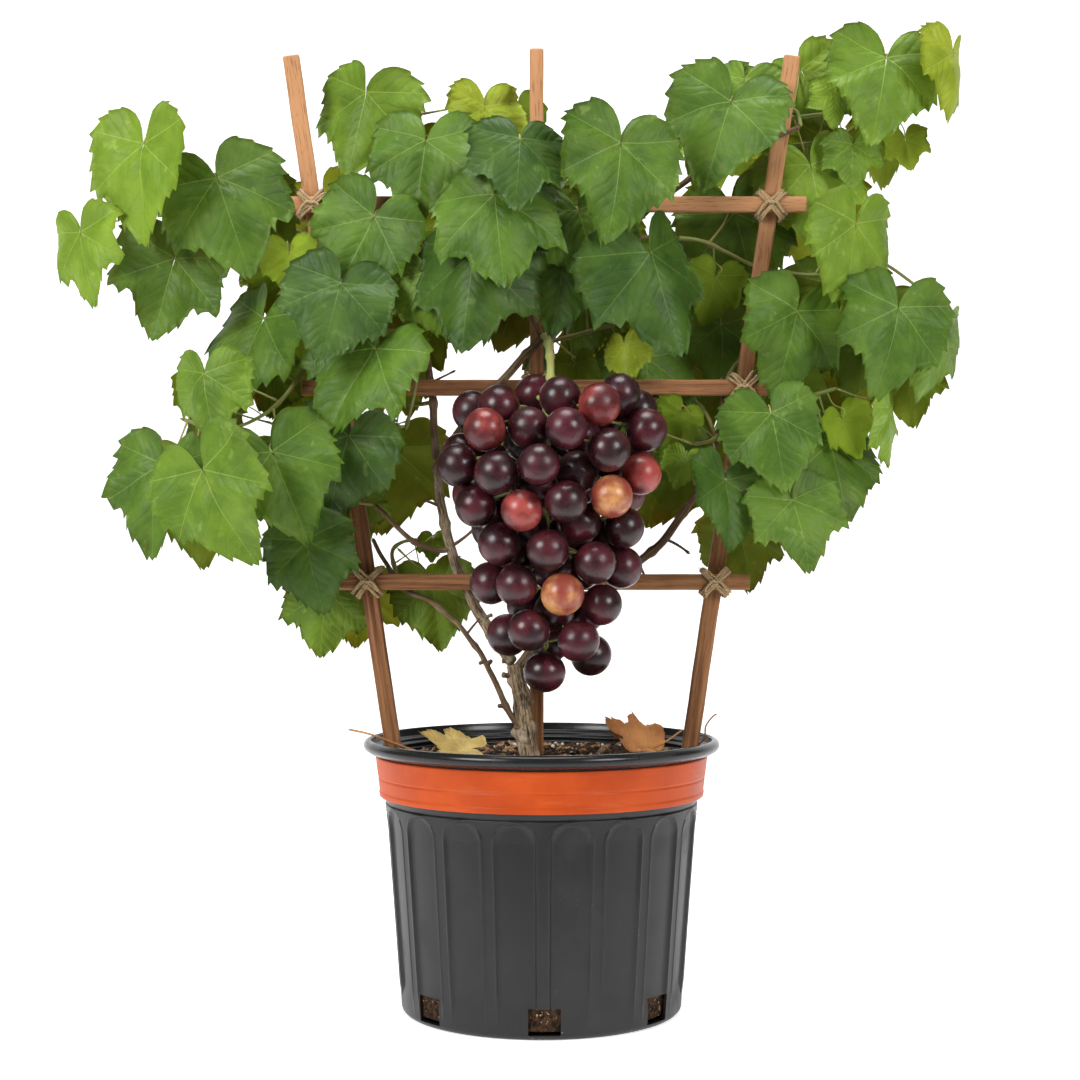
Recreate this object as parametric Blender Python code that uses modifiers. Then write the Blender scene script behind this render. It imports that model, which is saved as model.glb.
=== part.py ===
"""Potted muscadine grapevine, tied in to a small wooden trellis that stands in its nursery pot.

Metres, +Z up. The origin is the middle of the pot's flat underside and -Y is the front.
The pot, its band, the soil, each bar of the trellis, each lashing, the trunk, each cane, each
shoot with its leaves and the bunch of grapes are separate closed solids, GAP apart where they meet.
"""

import math

import bmesh
import bpy
import numpy as np
from mathutils import Matrix, Vector
from mathutils.bvhtree import BVHTree

OBJECT_NAME = "potted_muscadine_grapevine"
GAP = 0.0003

# Pot: a black nursery pot with a rolled rim, and a terracotta coloured band below it
POT_HEIGHT = 0.195
RIM_RADIUS = 0.128
RIM_DEPTH = 0.009
RIM_INNER_RADIUS = 0.124
BAND_TOP = 0.1815
BAND_BOTTOM = 0.1545
BAND_TOP_RADIUS = 0.1198
BAND_BOTTOM_RADIUS = 0.1165
BAND_THICKNESS = 0.0022
BODY_TOP = 0.150
BODY_TOP_RADIUS = 0.112
FOOT_RADIUS = 0.1007
FOOT_ROUNDING = 0.005
WALL = 0.0022
FLOOR = 0.003
TURNS = 40

# Drainage notches round the foot
NOTCH_COUNT = 7
NOTCH_WIDTH = 0.022
NOTCH_BOTTOM = 0.0036
NOTCH_TOP = 0.0217
NOTCH_FIRST_ANGLE = math.radians(1.1)

SOIL_TOP = 0.179
SOIL_MOUND = 0.0012

# Trellis: two posts that lean apart, one upright between them, and three rails in front
POST_WIDTH = 0.012
POST_DEPTH = 0.006
POST_LEAN = math.radians(8.44)
POST_FOOT = 0.100
POST_TOP = 0.688
POST_OFFSET_AT_SOIL = 0.106
UPRIGHT_WIDTH = 0.010
UPRIGHT_TOP = 0.693
UPRIGHT_OFFSET = -0.0035
RAIL_HEIGHT = 0.0115
RAIL_DEPTH = 0.006
RAILS = {"top": (0.5795, 0.192), "middle": (0.4474, 0.172), "bottom": (0.3074, 0.151)}

# Lashings: two bands of twine crossed over each joint of the trellis
LASHING_WIDTH = 0.004
LASHING_THICKNESS = 0.002
LASHING_REACH = 0.0135

# Trunk and canes: points along the middle, radius at the foot and at the tip, and what cuts the foot
TRUNK_FLARE = 1.22
TRUNK_FLARE_HEIGHT = 0.014
LIMBS = {
    "trunk": dict(
        route=((-0.0080, -0.016, SOIL_TOP + SOIL_MOUND + GAP), (-0.0095, -0.016, 0.191),
               (-0.0120, -0.016, 0.207), (-0.0150, -0.017, 0.228), (-0.0195, -0.018, 0.249)),
        radii=(0.0074, 0.0064), sides=8, step=0.010, cut_by=()),
    "left_cane": dict(
        route=((-0.0202, -0.018, 0.2494), (-0.034, -0.010, 0.269), (-0.046, 0.001, 0.285),
               (-0.053, 0.0062, 0.299), (-0.063, 0.0065, 0.323), (-0.073, 0.0055, 0.363),
               (-0.076, 0.005, 0.394)),
        radii=(0.0050, 0.0034), sides=6, step=0.016, cut_by=("trunk",)),
    "right_cane": dict(
        route=((-0.018, -0.018, 0.245), (-0.004, -0.014, 0.262), (0.013, -0.0075, 0.277),
               (0.030, 0.004, 0.293), (0.044, 0.0062, 0.303), (0.084, 0.006, 0.333),
               (0.109, 0.006, 0.367), (0.122, 0.005, 0.392)),
        radii=(0.0040, 0.0028), sides=6, step=0.018, cut_by=("trunk", "left_cane")),
    "low_left_cane": dict(
        route=((-0.013, -0.016, 0.201), (-0.0215, -0.018, 0.212), (-0.031, -0.017, 0.231),
               (-0.040, -0.012, 0.250), (-0.056, -0.001, 0.272), (-0.076, 0.006, 0.290),
               (-0.100, 0.007, 0.303), (-0.114, 0.0095, 0.322), (-0.123, 0.0105, 0.339)),
        radii=(0.0028, 0.0019), sides=6, step=0.018, cut_by=("trunk",)),
    "left_upper_cane": dict(
        route=((-0.0761, 0.005, 0.3946), (-0.079, 0.005, 0.439), (-0.085, 0.005, 0.490),
               (-0.089, 0.004, 0.537)),
        radii=(0.0031, 0.0021), sides=6, step=0.016, cut_by=("left_cane",)),
    "arm_lower": dict(
        route=((-0.0755, 0.005, 0.388), (-0.068, -0.003, 0.404), (-0.036, -0.0115, 0.442),
               (-0.003, -0.0115, 0.479), (0.022, -0.008, 0.510), (0.040, -0.005, 0.532)),
        radii=(0.0033, 0.0027), sides=6, step=0.018, cut_by=("left_cane", "left_upper_cane")),
    "arm_upper": dict(
        route=((0.0403, -0.0049, 0.5324), (0.056, 0.0005, 0.553), (0.069, 0.004, 0.569),
               (0.100, 0.004, 0.594), (0.143, -0.003, 0.617), (0.186, -0.006, 0.635)),
        radii=(0.0026, 0.0018), sides=6, step=0.014, cut_by=("arm_lower",)),
    "right_upper_cane": dict(
        route=((0.1222, 0.0051, 0.3926), (0.128, 0.0095, 0.414), (0.131, 0.0105, 0.432),
               (0.131, 0.009, 0.456)),
        radii=(0.0025, 0.0018), sides=6, step=0.012, cut_by=("right_cane",)),
    "left_twig": dict(
        route=((-0.0655, 0.0065, 0.331), (-0.078, 0.004, 0.331), (-0.094, -0.001, 0.337),
               (-0.109, -0.006, 0.352), (-0.120, -0.008, 0.363)),
        radii=(0.0022, 0.0016), sides=6, step=0.014, cut_by=("left_cane",)),
    "left_arm": dict(
        route=((-0.0815, 0.005, 0.461), (-0.092, -0.003, 0.467), (-0.113, -0.008, 0.475),
               (-0.141, -0.010, 0.483), (-0.160, -0.009, 0.487)),
        radii=(0.0020, 0.0016), sides=6, step=0.014, cut_by=("left_upper_cane",)),
    "centre_twig": dict(
        route=((0.000, -0.0115, 0.4825), (-0.008, -0.0125, 0.496), (-0.014, -0.013, 0.507),
               (-0.020, -0.012, 0.518)),
        radii=(0.0020, 0.0016), sides=6, step=0.012, cut_by=("arm_lower",)),
}

# Shoots: the limb and the place along it that each springs from, where along its stem the front
# leaves stand (minus for those on the other side), how many leaves face the back, a leaf's length
# from junction to tip, which way the front leaves face (degrees from the front, towards the
# right), the seed, and the points that the stem passes
SHOOTS = {
    "shoot_upper_left": dict(
        limb="left_arm", at=1.00, leaves=(-0.11, 0.66, -0.72, 0.92, -1.00), back=3,
        leaf=0.067, face=-12, seed=11,
        route=((-0.166, 0.000, 0.507), (-0.193, 0.008, 0.535), (-0.245, 0.012, 0.571),
               (-0.282, 0.012, 0.582), (-0.289, 0.011, 0.583))),
    "shoot_left_top": dict(
        limb="left_upper_cane", at=1.00, leaves=(-0.11, 0.61, -0.84, 1.00), back=2,
        leaf=0.060, face=-4, seed=12,
        route=((-0.085, 0.010, 0.556), (-0.105, 0.014, 0.593), (-0.110, 0.014, 0.615),
               (-0.097, 0.014, 0.640), (-0.086, 0.012, 0.649))),
    "shoot_left_middle": dict(
        limb="left_upper_cane", at=0.58, leaves=(0.20, 0.97), back=1,
        leaf=0.066, face=-4, seed=13,
        route=((-0.087, -0.014, 0.465), (-0.091, -0.018, 0.441), (-0.097, -0.018, 0.416))),
    "shoot_left_inner": dict(
        limb="left_arm", at=0.50, leaves=(-0.55, 1.00), back=1,
        leaf=0.060, face=-6, seed=23,
        route=((-0.117, -0.014, 0.494), (-0.110, -0.016, 0.509))),
    "shoot_lower_left": dict(
        limb="left_arm", at=0.93, leaves=(-0.48, -0.97, -0.74, 0.44, 0.66), back=3,
        leaf=0.067, face=-14, seed=14,
        route=((-0.171, -0.012, 0.458), (-0.194, -0.012, 0.431), (-0.227, -0.010, 0.417),
               (-0.260, -0.008, 0.425))),
    "shoot_left_low": dict(
        limb="left_twig", at=1.00, leaves=(0.35, -0.97), back=2,
        leaf=0.056, face=-8, seed=15,
        route=((-0.141, -0.012, 0.366), (-0.160, -0.012, 0.368))),
    "shoot_low": dict(
        limb="low_left_cane", at=1.00, leaves=(0.15, -0.97), back=2,
        leaf=0.045, face=-4, seed=16,
        route=((-0.138, 0.014, 0.338), (-0.151, 0.014, 0.338))),
    "shoot_low_inner": dict(
        limb="low_left_cane", at=0.80, leaves=(0.60, -0.90), back=1,
        leaf=0.048, face=4, seed=24,
        route=((-0.109, 0.014, 0.328), (-0.102, 0.018, 0.336), (-0.089, 0.020, 0.338))),
    "shoot_centre_top": dict(
        limb="centre_twig", at=1.00, leaves=(-0.03, 0.30, -0.58, 0.75, -1.00), back=0,
        leaf=0.067, face=0, seed=17,
        route=((-0.017, -0.014, 0.536), (-0.011, -0.014, 0.559), (-0.007, -0.014, 0.581))),
    "shoot_centre_right": dict(
        limb="arm_lower", at=0.97, leaves=(0.30, -0.85), back=0,
        leaf=0.076, face=4, seed=18,
        route=((0.050, -0.014, 0.552), (0.062, -0.016, 0.575), (0.073, -0.016, 0.590))),
    "shoot_centre_back": dict(
        limb="arm_lower", at=0.62, leaves=(-0.45, 0.75, 1.00), back=2,
        leaf=0.060, face=0, seed=25,
        route=((0.028, 0.014, 0.488), (0.059, 0.024, 0.498), (0.091, 0.026, 0.510))),
    "shoot_right_top": dict(
        limb="arm_upper", at=0.75, leaves=(-0.04, 0.40, -0.76, -0.26, -1.00), back=2,
        leaf=0.070, face=8, seed=19,
        route=((0.166, 0.014, 0.641), (0.200, 0.016, 0.648), (0.234, 0.016, 0.651),
               (0.267, 0.012, 0.662))),
    "shoot_right_peak": dict(
        limb="arm_upper", at=1.00, leaves=(0.55, 1.00), back=0,
        leaf=0.050, face=6, seed=126,
        route=((0.186, 0.014, 0.650), (0.178, 0.030, 0.654), (0.172, 0.040, 0.656))),
    "shoot_right_middle": dict(
        limb="arm_upper", at=0.17, leaves=(-0.28, 0.55, -0.64, 0.81, 1.00), back=2,
        leaf=0.067, face=10, seed=20,
        route=((0.115, 0.014, 0.556), (0.156, 0.018, 0.538), (0.203, 0.012, 0.531),
               (0.246, 0.010, 0.540), (0.278, 0.008, 0.518))),
    "shoot_lower_right": dict(
        limb="right_cane", at=0.93, leaves=(0.96, -0.78), back=2,
        leaf=0.058, face=10, seed=22,
        route=((0.131, -0.008, 0.388), (0.145, -0.014, 0.391), (0.169, -0.014, 0.398))),
    "shoot_right_inner": dict(
        limb="right_upper_cane", at=0.35, leaves=(-0.50, 1.00), back=1,
        leaf=0.056, face=4, seed=27,
        route=((0.122, -0.009, 0.409), (0.108, -0.014, 0.406))),
    "shoot_right": dict(
        limb="right_upper_cane", at=0.50, leaves=(0.80, 1.00, 0.35), back=2,
        leaf=0.058, face=14, seed=21,
        route=((0.150, 0.014, 0.427), (0.181, 0.012, 0.438), (0.215, 0.006, 0.448))),
    "shoot_rear_upper_left": dict(
        limb="left_upper_cane", at=0.75, leaves=(0.18, -0.34, 0.50, -0.66, 0.82, -1.00), back=0,
        leaf=0.066, face=186, seed=31,
        route=((-0.107, 0.024, 0.531), (-0.141, 0.032, 0.552), (-0.178, 0.034, 0.565),
               (-0.211, 0.032, 0.570))),
    "shoot_rear_left": dict(
        limb="left_upper_cane", at=0.30, leaves=(0.25, -0.40, 0.55, -0.70, 0.85, -1.00), back=0,
        leaf=0.066, face=184, seed=32,
        route=((-0.095, 0.022, 0.437), (-0.125, 0.032, 0.441), (-0.164, 0.036, 0.435),
               (-0.200, 0.032, 0.423))),
    "shoot_rear_top": dict(
        limb="arm_lower", at=0.85, leaves=(0.22, -0.38, 0.54, -0.70, 0.86, -1.00), back=0,
        leaf=0.064, face=180, seed=33,
        route=((0.019, 0.024, 0.542), (0.003, 0.034, 0.573), (-0.007, 0.034, 0.600),
               (-0.016, 0.030, 0.625))),
    "shoot_rear_right_top": dict(
        limb="arm_upper", at=0.45, leaves=(-0.20, 0.38, -0.54, 0.72, -0.86, 1.00), back=0,
        leaf=0.066, face=174, seed=34,
        route=((0.120, 0.024, 0.612), (0.150, 0.032, 0.623), (0.183, 0.034, 0.629),
               (0.216, 0.032, 0.632))),
    "shoot_rear_right": dict(
        limb="right_upper_cane", at=0.85, leaves=(0.22, -0.38, 0.54, -0.70, 0.86, -1.00), back=0,
        leaf=0.066, face=176, seed=35,
        route=((0.144, 0.026, 0.468), (0.172, 0.034, 0.485), (0.206, 0.034, 0.496),
               (0.236, 0.030, 0.498))),
    "shoot_rear_centre": dict(
        limb="right_upper_cane", at=0.30, leaves=(0.24, -0.38, 0.54, -0.70, 0.86, -1.00), back=0,
        leaf=0.066, face=182, seed=36,
        route=((0.118, 0.022, 0.434), (0.096, 0.034, 0.450), (0.064, 0.034, 0.459),
               (0.034, 0.030, 0.464))),
    "shoot_rear_lower_right": dict(
        limb="right_cane", at=0.80, leaves=(0.30, -0.62, 1.00), back=0,
        leaf=0.050, face=176, seed=37,
        route=((0.121, 0.022, 0.378), (0.147, 0.030, 0.384), (0.167, 0.030, 0.395))),
}

# Leaf: half of its outline as angles from the tip and lengths as parts of the leaf's length
LEAF_HALF = ((0, 1.00), (24, 0.79), (58, 0.69), (100, 0.63), (148, 0.46))
SINUS = 0.02
SEAT = 0.018
HUB = 0.30
LEAF_THICKNESS = 0.0016
LEAF_CLEARANCE = 0.0018
STALK_CLEARANCE = 0.0008
PETIOLE = 0.036
PETIOLE_RADIUS = 0.0012
PETIOLE_REACH = 0.55
SEAT_DROP = 0.007
SEAT_DEPTH = 0.006
HEEL = 1.2
STEM_RADIUS = 0.0016
STEM_TIP_RADIUS = 0.0011
STEM_STEP = 0.028
LIFT = 0.013
TWIG_SIDES = 4
DEPTH_STEPS = (0.0, 0.007, -0.006, 0.014, -0.013, 0.021, -0.021, 0.029, 0.037, -0.029,
               -0.037)
SMALLER = (1.0, 0.85, 0.72)
LAST_LEAF = 0.8

# Bunch: the berries that show from the front, half rings of others behind them and a core, all
# pushed apart until they only just clear each other
BERRY_RADIUS = 0.015
BERRY_SEGMENTS = 8
BERRY_RINGS = 4
BUNCH_AXIS = (0.003, -0.066)
FRONT_BERRIES = (
    (-0.038, -0.104, 0.412), (-0.030, -0.077, 0.428), (-0.007, -0.097, 0.413), (0.016, -0.109, 0.413),
    (0.014, -0.080, 0.432), (0.038, -0.102, 0.428), (0.054, -0.071, 0.435), (0.071, -0.079, 0.411),
    (0.045, -0.106, 0.398), (-0.057, -0.087, 0.388), (-0.029, -0.109, 0.383), (-0.003, -0.114, 0.388),
    (0.022, -0.086, 0.386), (0.068, -0.083, 0.384), (0.047, -0.101, 0.367), (-0.044, -0.086, 0.360),
    (-0.013, -0.107, 0.358), (0.016, -0.108, 0.364), (0.027, -0.077, 0.348), (0.055, -0.080, 0.346),
    (-0.029, -0.087, 0.337), (0.004, -0.102, 0.331), (0.036, -0.095, 0.323), (0.051, -0.060, 0.320),
    (-0.033, -0.063, 0.309), (-0.017, -0.094, 0.307), (0.014, -0.094, 0.301), (0.041, -0.071, 0.294),
    (-0.022, -0.057, 0.275), (-0.008, -0.087, 0.277), (0.025, -0.083, 0.270), (0.033, -0.048, 0.261),
    (0.002, -0.073, 0.247),
)
BACK_MIDDLE = 0.007
BACK_ROWS = ((0.424, 0.050, 0.040, 6), (0.397, 0.056, 0.046, 6), (0.370, 0.051, 0.044, 5),
             (0.344, 0.042, 0.038, 4), (0.318, 0.032, 0.032, 3), (0.291, 0.025, 0.026, 2),
             (0.266, 0.010, 0.018, 1))
CORE_ROWS = ((0.408, 0.020, 3), (0.376, 0.022, 3), (0.345, 0.014, 2), (0.315, 0.0, 1), (0.289, 0.0, 1))
FRONT_EASE = (0.3, 1.0, 0.3)
BERRY_JITTER = 0.006
BUNCH_SEED = 5
PEDUNCLE = ((0.001, -0.0115, 0.4835), (0.004, -0.022, 0.481), (0.006, -0.042, 0.466),
            (0.006, -0.060, 0.450), (0.004, -0.066, 0.420), (0.003, -0.066, 0.330),
            (0.003, -0.066, 0.262))
PEDUNCLE_RADII = (0.0028, 0.0016)
PEDICEL_RADIUS = 0.0012
PEDICEL_DEPTH = 0.75

# Colours as linear RGB, with roughness
FINISHES = {
    "black_plastic": ((0.030, 0.030, 0.031), 0.50),
    "orange_plastic": ((0.560, 0.100, 0.022), 0.45),
    "potting_soil": ((0.045, 0.022, 0.011), 0.95),
    "stained_wood": ((0.330, 0.130, 0.060), 0.65),
    "jute_twine": ((0.480, 0.300, 0.150), 0.90),
    "vine_bark": ((0.170, 0.120, 0.085), 0.90),
    "vine_leaf": ((0.055, 0.160, 0.040), 0.55),
    "grape_skin": ((0.030, 0.008, 0.014), 0.25),
}


def clear_scene():
    for obj in list(bpy.data.objects):
        bpy.data.objects.remove(obj, do_unlink=True)


def new_collection(name):
    collection = bpy.data.collections.new(name)
    bpy.context.scene.collection.children.link(collection)
    return collection


def finish(name):
    """The material of that name, made once."""
    if name in bpy.data.materials:
        return bpy.data.materials[name]
    colour, roughness = FINISHES[name]
    material = bpy.data.materials.new(name)
    material.use_nodes = True
    shader = material.node_tree.nodes["Principled BSDF"]
    shader.inputs["Base Color"].default_value = (*colour, 1.0)
    shader.inputs["Roughness"].default_value = roughness
    shader.inputs["Metallic"].default_value = 0.0
    return material


def add_object(name, mesh, collection, material=None):
    obj = bpy.data.objects.new(name, mesh)
    collection.objects.link(obj)
    if material:
        mesh.materials.clear()
        mesh.materials.append(finish(material))
    return obj


def hide_as_cutter(obj):
    obj.hide_render = True
    obj.display_type = "WIRE"


def shade(obj, angle=math.radians(35)):
    obj.data.shade_smooth()
    obj.data.set_sharp_from_angle(angle=angle)


def apply_modifiers(obj):
    """Puts what the modifiers make into the object's own mesh."""
    bpy.context.view_layer.update()
    graph = bpy.context.evaluated_depsgraph_get()
    made = bpy.data.meshes.new_from_object(obj.evaluated_get(graph))
    obj.modifiers.clear()
    old = obj.data
    obj.data = made
    bpy.data.meshes.remove(old)


def keep_main_shell(obj):
    """Drops loose scraps and sealed hollows: every shell of the mesh but the one with most faces."""
    form = bmesh.new()
    form.from_mesh(obj.data)
    left = set(form.verts)
    shells = []
    while left:
        shell = {left.pop()}
        edge = list(shell)
        while edge:
            for link in edge.pop().link_edges:
                for vertex in link.verts:
                    if vertex in left:
                        left.discard(vertex)
                        shell.add(vertex)
                        edge.append(vertex)
        shells.append(shell)
    main = max(shells, key=len)
    bmesh.ops.delete(form, geom=[v for v in form.verts if v not in main], context="VERTS")
    form.to_mesh(obj.data)
    form.free()


def unit(vector):
    vector = np.asarray(vector, float)
    return vector / np.linalg.norm(vector)


def smooth_route(points, step):
    """Points about `step` apart on a Catmull-Rom curve through the given points."""
    points = np.asarray(points, float)
    ends = np.vstack([2 * points[0] - points[1], points, 2 * points[-1] - points[-2]])
    spans = []
    for before, start, end, after in zip(ends, ends[1:], ends[2:], ends[3:]):
        count = max(1, round(float(np.linalg.norm(end - start)) / step))
        t = np.arange(count)[:, None] / count
        spans.append(0.5 * (2 * start + (end - before) * t
                            + (2 * before - 5 * start + 4 * end - after) * t ** 2
                            + (3 * start - before - 3 * end + after) * t ** 3))
    spans.append(points[-1:])
    return np.vstack(spans)


def lengths_along(route):
    """The share of the whole length at each point of the route, from 0 to 1."""
    steps = np.linalg.norm(np.diff(route, axis=0), axis=1)
    return np.concatenate([[0.0], np.cumsum(steps)]) / steps.sum()


def place_along(route, share):
    """The point of the route at that share of its length, and the direction there."""
    shares = lengths_along(route)
    point = np.array([np.interp(share, shares, route[:, axis]) for axis in range(3)])
    span = min(int(np.searchsorted(shares, share, side="right")), len(route) - 1)
    return point, unit(route[span] - route[span - 1])


def tube_mesh(name, tubes, sides):
    """A mesh of one closed tapering tube for each (points, radii), made as bevelled curves."""
    curve = bpy.data.curves.new(name, "CURVE")
    curve.dimensions = "3D"
    curve.bevel_depth = 1.0
    curve.bevel_resolution = (sides - 4) // 2
    curve.use_fill_caps = True
    for points, radii in tubes:
        spline = curve.splines.new("POLY")
        spline.points.add(len(points) - 1)
        spline.points.foreach_set("co", np.column_stack([points, np.ones(len(points))]).ravel())
        spline.points.foreach_set("radius", np.asarray(radii, float))
    holder = bpy.data.objects.new(name, curve)
    mesh = bpy.data.meshes.new_from_object(holder)
    bpy.data.objects.remove(holder)
    form = bmesh.new()
    form.from_mesh(mesh)
    bmesh.ops.remove_doubles(form, verts=form.verts, dist=1e-6)
    bmesh.ops.recalc_face_normals(form, faces=form.faces)
    form.to_mesh(mesh)
    form.free()
    return mesh


def boolean(obj, operation, other=None, collection=None):
    modifier = obj.modifiers.new(operation.lower(), "BOOLEAN")
    modifier.operation = operation
    modifier.solver = "EXACT"
    if collection:
        modifier.operand_type = "COLLECTION"
        modifier.collection = collection
    else:
        modifier.object = other
    return modifier


def join_all(obj, collection, material):
    """Joins all of the collection's objects to this one by one union, and removes them."""
    boolean(obj, "UNION", collection=collection)
    apply_modifiers(obj)
    keep_main_shell(obj)
    for other in list(collection.objects):
        bpy.data.objects.remove(other)
    bpy.data.collections.remove(collection)
    obj.data.materials.clear()
    obj.data.materials.append(finish(material))


def turned(name, profile, collection, material):
    """A solid turned round Z from a profile that runs down its outer side and ends on the axis."""
    mesh = bpy.data.meshes.new(name)
    points = [(radius, 0.0, height) for radius, height in profile]
    mesh.from_pydata(points, [(i, i + 1) for i in range(len(points) - 1)], [])
    obj = add_object(name, mesh, collection, material)
    screw = obj.modifiers.new("turn", "SCREW")
    screw.steps = TURNS
    screw.render_steps = TURNS
    screw.use_merge_vertices = True
    screw.merge_threshold = 0.00001
    return obj


def box(name, size, collection, material=None, matrix=Matrix()):
    form = bmesh.new()
    bmesh.ops.create_cube(form, size=1.0, matrix=matrix @ Matrix.Diagonal((*size, 1.0)))
    mesh = bpy.data.meshes.new(name)
    form.to_mesh(mesh)
    form.free()
    return add_object(name, mesh, collection, material)


def body_radius(height):
    """The outer radius of the pot's tapering body at that height."""
    rise = (height - FOOT_ROUNDING) / (BODY_TOP - FOOT_ROUNDING)
    return FOOT_RADIUS + (BODY_TOP_RADIUS - FOOT_RADIUS) * rise


def make_pot(parts, cutters):
    seat_top = BAND_TOP_RADIUS - BAND_THICKNESS - GAP
    seat_bottom = BAND_BOTTOM_RADIUS - BAND_THICKNESS - GAP
    outside = [
        (RIM_INNER_RADIUS, POT_HEIGHT),
        (RIM_RADIUS - 0.0015, POT_HEIGHT - 0.0008),
        (RIM_RADIUS, POT_HEIGHT - 0.003),
        (RIM_RADIUS - 0.0005, POT_HEIGHT - RIM_DEPTH),
        (seat_top + 0.001, POT_HEIGHT - RIM_DEPTH - 0.001),
        (seat_top, BAND_TOP),
        (seat_bottom, BAND_BOTTOM),
        (BODY_TOP_RADIUS + 0.0005, BODY_TOP),
        (body_radius(FOOT_ROUNDING), FOOT_ROUNDING),
        (FOOT_RADIUS - 0.0015, 0.0014),
        (FOOT_RADIUS - FOOT_ROUNDING, 0.0),
        (0.0, 0.0),
    ]
    inside = [
        (0.0, FLOOR),
        (FOOT_RADIUS - FOOT_ROUNDING, FLOOR),
        (body_radius(0.008) - WALL, 0.008),
        (BODY_TOP_RADIUS - WALL, BODY_TOP),
        (seat_bottom - WALL, BAND_BOTTOM + 0.002),
        (seat_top - WALL, BAND_TOP),
        (RIM_INNER_RADIUS - 0.0012, POT_HEIGHT - 0.004),
        (RIM_INNER_RADIUS, POT_HEIGHT),
    ]
    pot = turned("pot", outside + inside, parts, "black_plastic")
    for index in range(NOTCH_COUNT):
        angle = NOTCH_FIRST_ANGLE + index * math.tau / NOTCH_COUNT
        place = Matrix.Rotation(angle, 4, "Z") @ Matrix.Translation(
            (0.0, -FOOT_RADIUS, (NOTCH_BOTTOM + NOTCH_TOP) / 2))
        size = (NOTCH_WIDTH, 0.014, NOTCH_TOP - NOTCH_BOTTOM)
        notch = box(f"notch_{index}", size, cutters, matrix=place)
        hide_as_cutter(notch)
        boolean(pot, "DIFFERENCE", notch)
    shade(pot)
    return pot


def make_band(parts):
    """The coloured band, seated in a shallow step of the pot's wall, with a groove round its middle."""
    middle = (BAND_TOP + BAND_BOTTOM) / 2
    middle_radius = (BAND_TOP_RADIUS + BAND_BOTTOM_RADIUS) / 2
    inner_top = BAND_TOP_RADIUS - BAND_THICKNESS
    inner_bottom = BAND_BOTTOM_RADIUS - BAND_THICKNESS
    profile = [
        (inner_top, BAND_TOP),
        (BAND_TOP_RADIUS - 0.0006, BAND_TOP),
        (BAND_TOP_RADIUS, BAND_TOP - 0.0010),
        (middle_radius, middle),
        (BAND_BOTTOM_RADIUS, BAND_BOTTOM + 0.0006),
        (BAND_BOTTOM_RADIUS - 0.0006, BAND_BOTTOM),
        (inner_bottom, BAND_BOTTOM),
        (inner_top, BAND_TOP),
    ]
    band = turned("pot_band", profile, parts, "orange_plastic")
    shade(band)
    return band


def inner_radius(height):
    """The radius inside the pot at that height, below the rim."""
    seat_top = BAND_TOP_RADIUS - BAND_THICKNESS - GAP - WALL
    seat_bottom = BAND_BOTTOM_RADIUS - BAND_THICKNESS - GAP - WALL
    heights = (0.008, BODY_TOP, BAND_BOTTOM + 0.002, BAND_TOP)
    radii = (body_radius(0.008) - WALL, BODY_TOP_RADIUS - WALL, seat_bottom, seat_top)
    return float(np.interp(height, heights, radii))


def make_soil(parts, stakes):
    """The filled soil, with a socket round each upright that is pushed into it."""
    profile = [(0.0, SOIL_TOP + SOIL_MOUND)]
    profile.append((0.060, SOIL_TOP + SOIL_MOUND))
    profile.append((inner_radius(SOIL_TOP) - GAP, SOIL_TOP))
    profile.append((inner_radius(BAND_BOTTOM + 0.002) - GAP, BAND_BOTTOM + 0.002))
    profile.append((inner_radius(BODY_TOP) - GAP, BODY_TOP))
    profile.append((inner_radius(0.008) - 2 * GAP, 0.008))
    profile.append((FOOT_RADIUS - FOOT_ROUNDING - 2 * GAP, FLOOR + GAP))
    profile.append((0.0, FLOOR + GAP))
    soil = turned("soil", profile, parts, "potting_soil")
    for stake in stakes:
        boolean(soil, "DIFFERENCE", stake)
    shade(soil)
    return soil


def bar(name, size, matrix, parts, cutters=None):
    """A squared length of wood, and where cutters are given, the socket that it stands in."""
    obj = box(name, size, parts, "stained_wood", matrix)
    if cutters is None:
        return obj, None
    socket_size = [side + 2 * GAP for side in size]
    socket = box(name + "_socket", socket_size, cutters, matrix=matrix)
    hide_as_cutter(socket)
    return obj, socket


def post_centre(side, height):
    """The middle of the left (-1) or right (1) post at that height."""
    return side * (POST_OFFSET_AT_SOIL + (height - SOIL_TOP) * math.tan(POST_LEAN))


def make_trellis(parts, cutters):
    sockets = []
    bars = []
    for name, side in (("left", -1), ("right", 1)):
        length = (POST_TOP - POST_FOOT) / math.cos(POST_LEAN)
        middle = (POST_TOP + POST_FOOT) / 2
        place = Matrix.Translation((post_centre(side, middle), POST_DEPTH / 2, middle))
        place = place @ Matrix.Rotation(side * POST_LEAN, 4, "Y")
        post, socket = bar(f"trellis_post_{name}", (POST_WIDTH, POST_DEPTH, length), place, parts, cutters)
        bars.append(post)
        sockets.append(socket)
    place = Matrix.Translation((UPRIGHT_OFFSET, POST_DEPTH / 2, (UPRIGHT_TOP + POST_FOOT) / 2))
    size = (UPRIGHT_WIDTH, POST_DEPTH, UPRIGHT_TOP - POST_FOOT)
    upright, socket = bar("trellis_post_centre", size, place, parts, cutters)
    bars.append(upright)
    sockets.append(socket)
    for name, (height, half) in RAILS.items():
        place = Matrix.Translation((-0.001, -GAP - RAIL_DEPTH / 2, height))
        rail, _ = bar(f"trellis_rail_{name}", (2 * half, RAIL_DEPTH, RAIL_HEIGHT), place, parts)
        bars.append(rail)
    return bars, sockets


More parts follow.
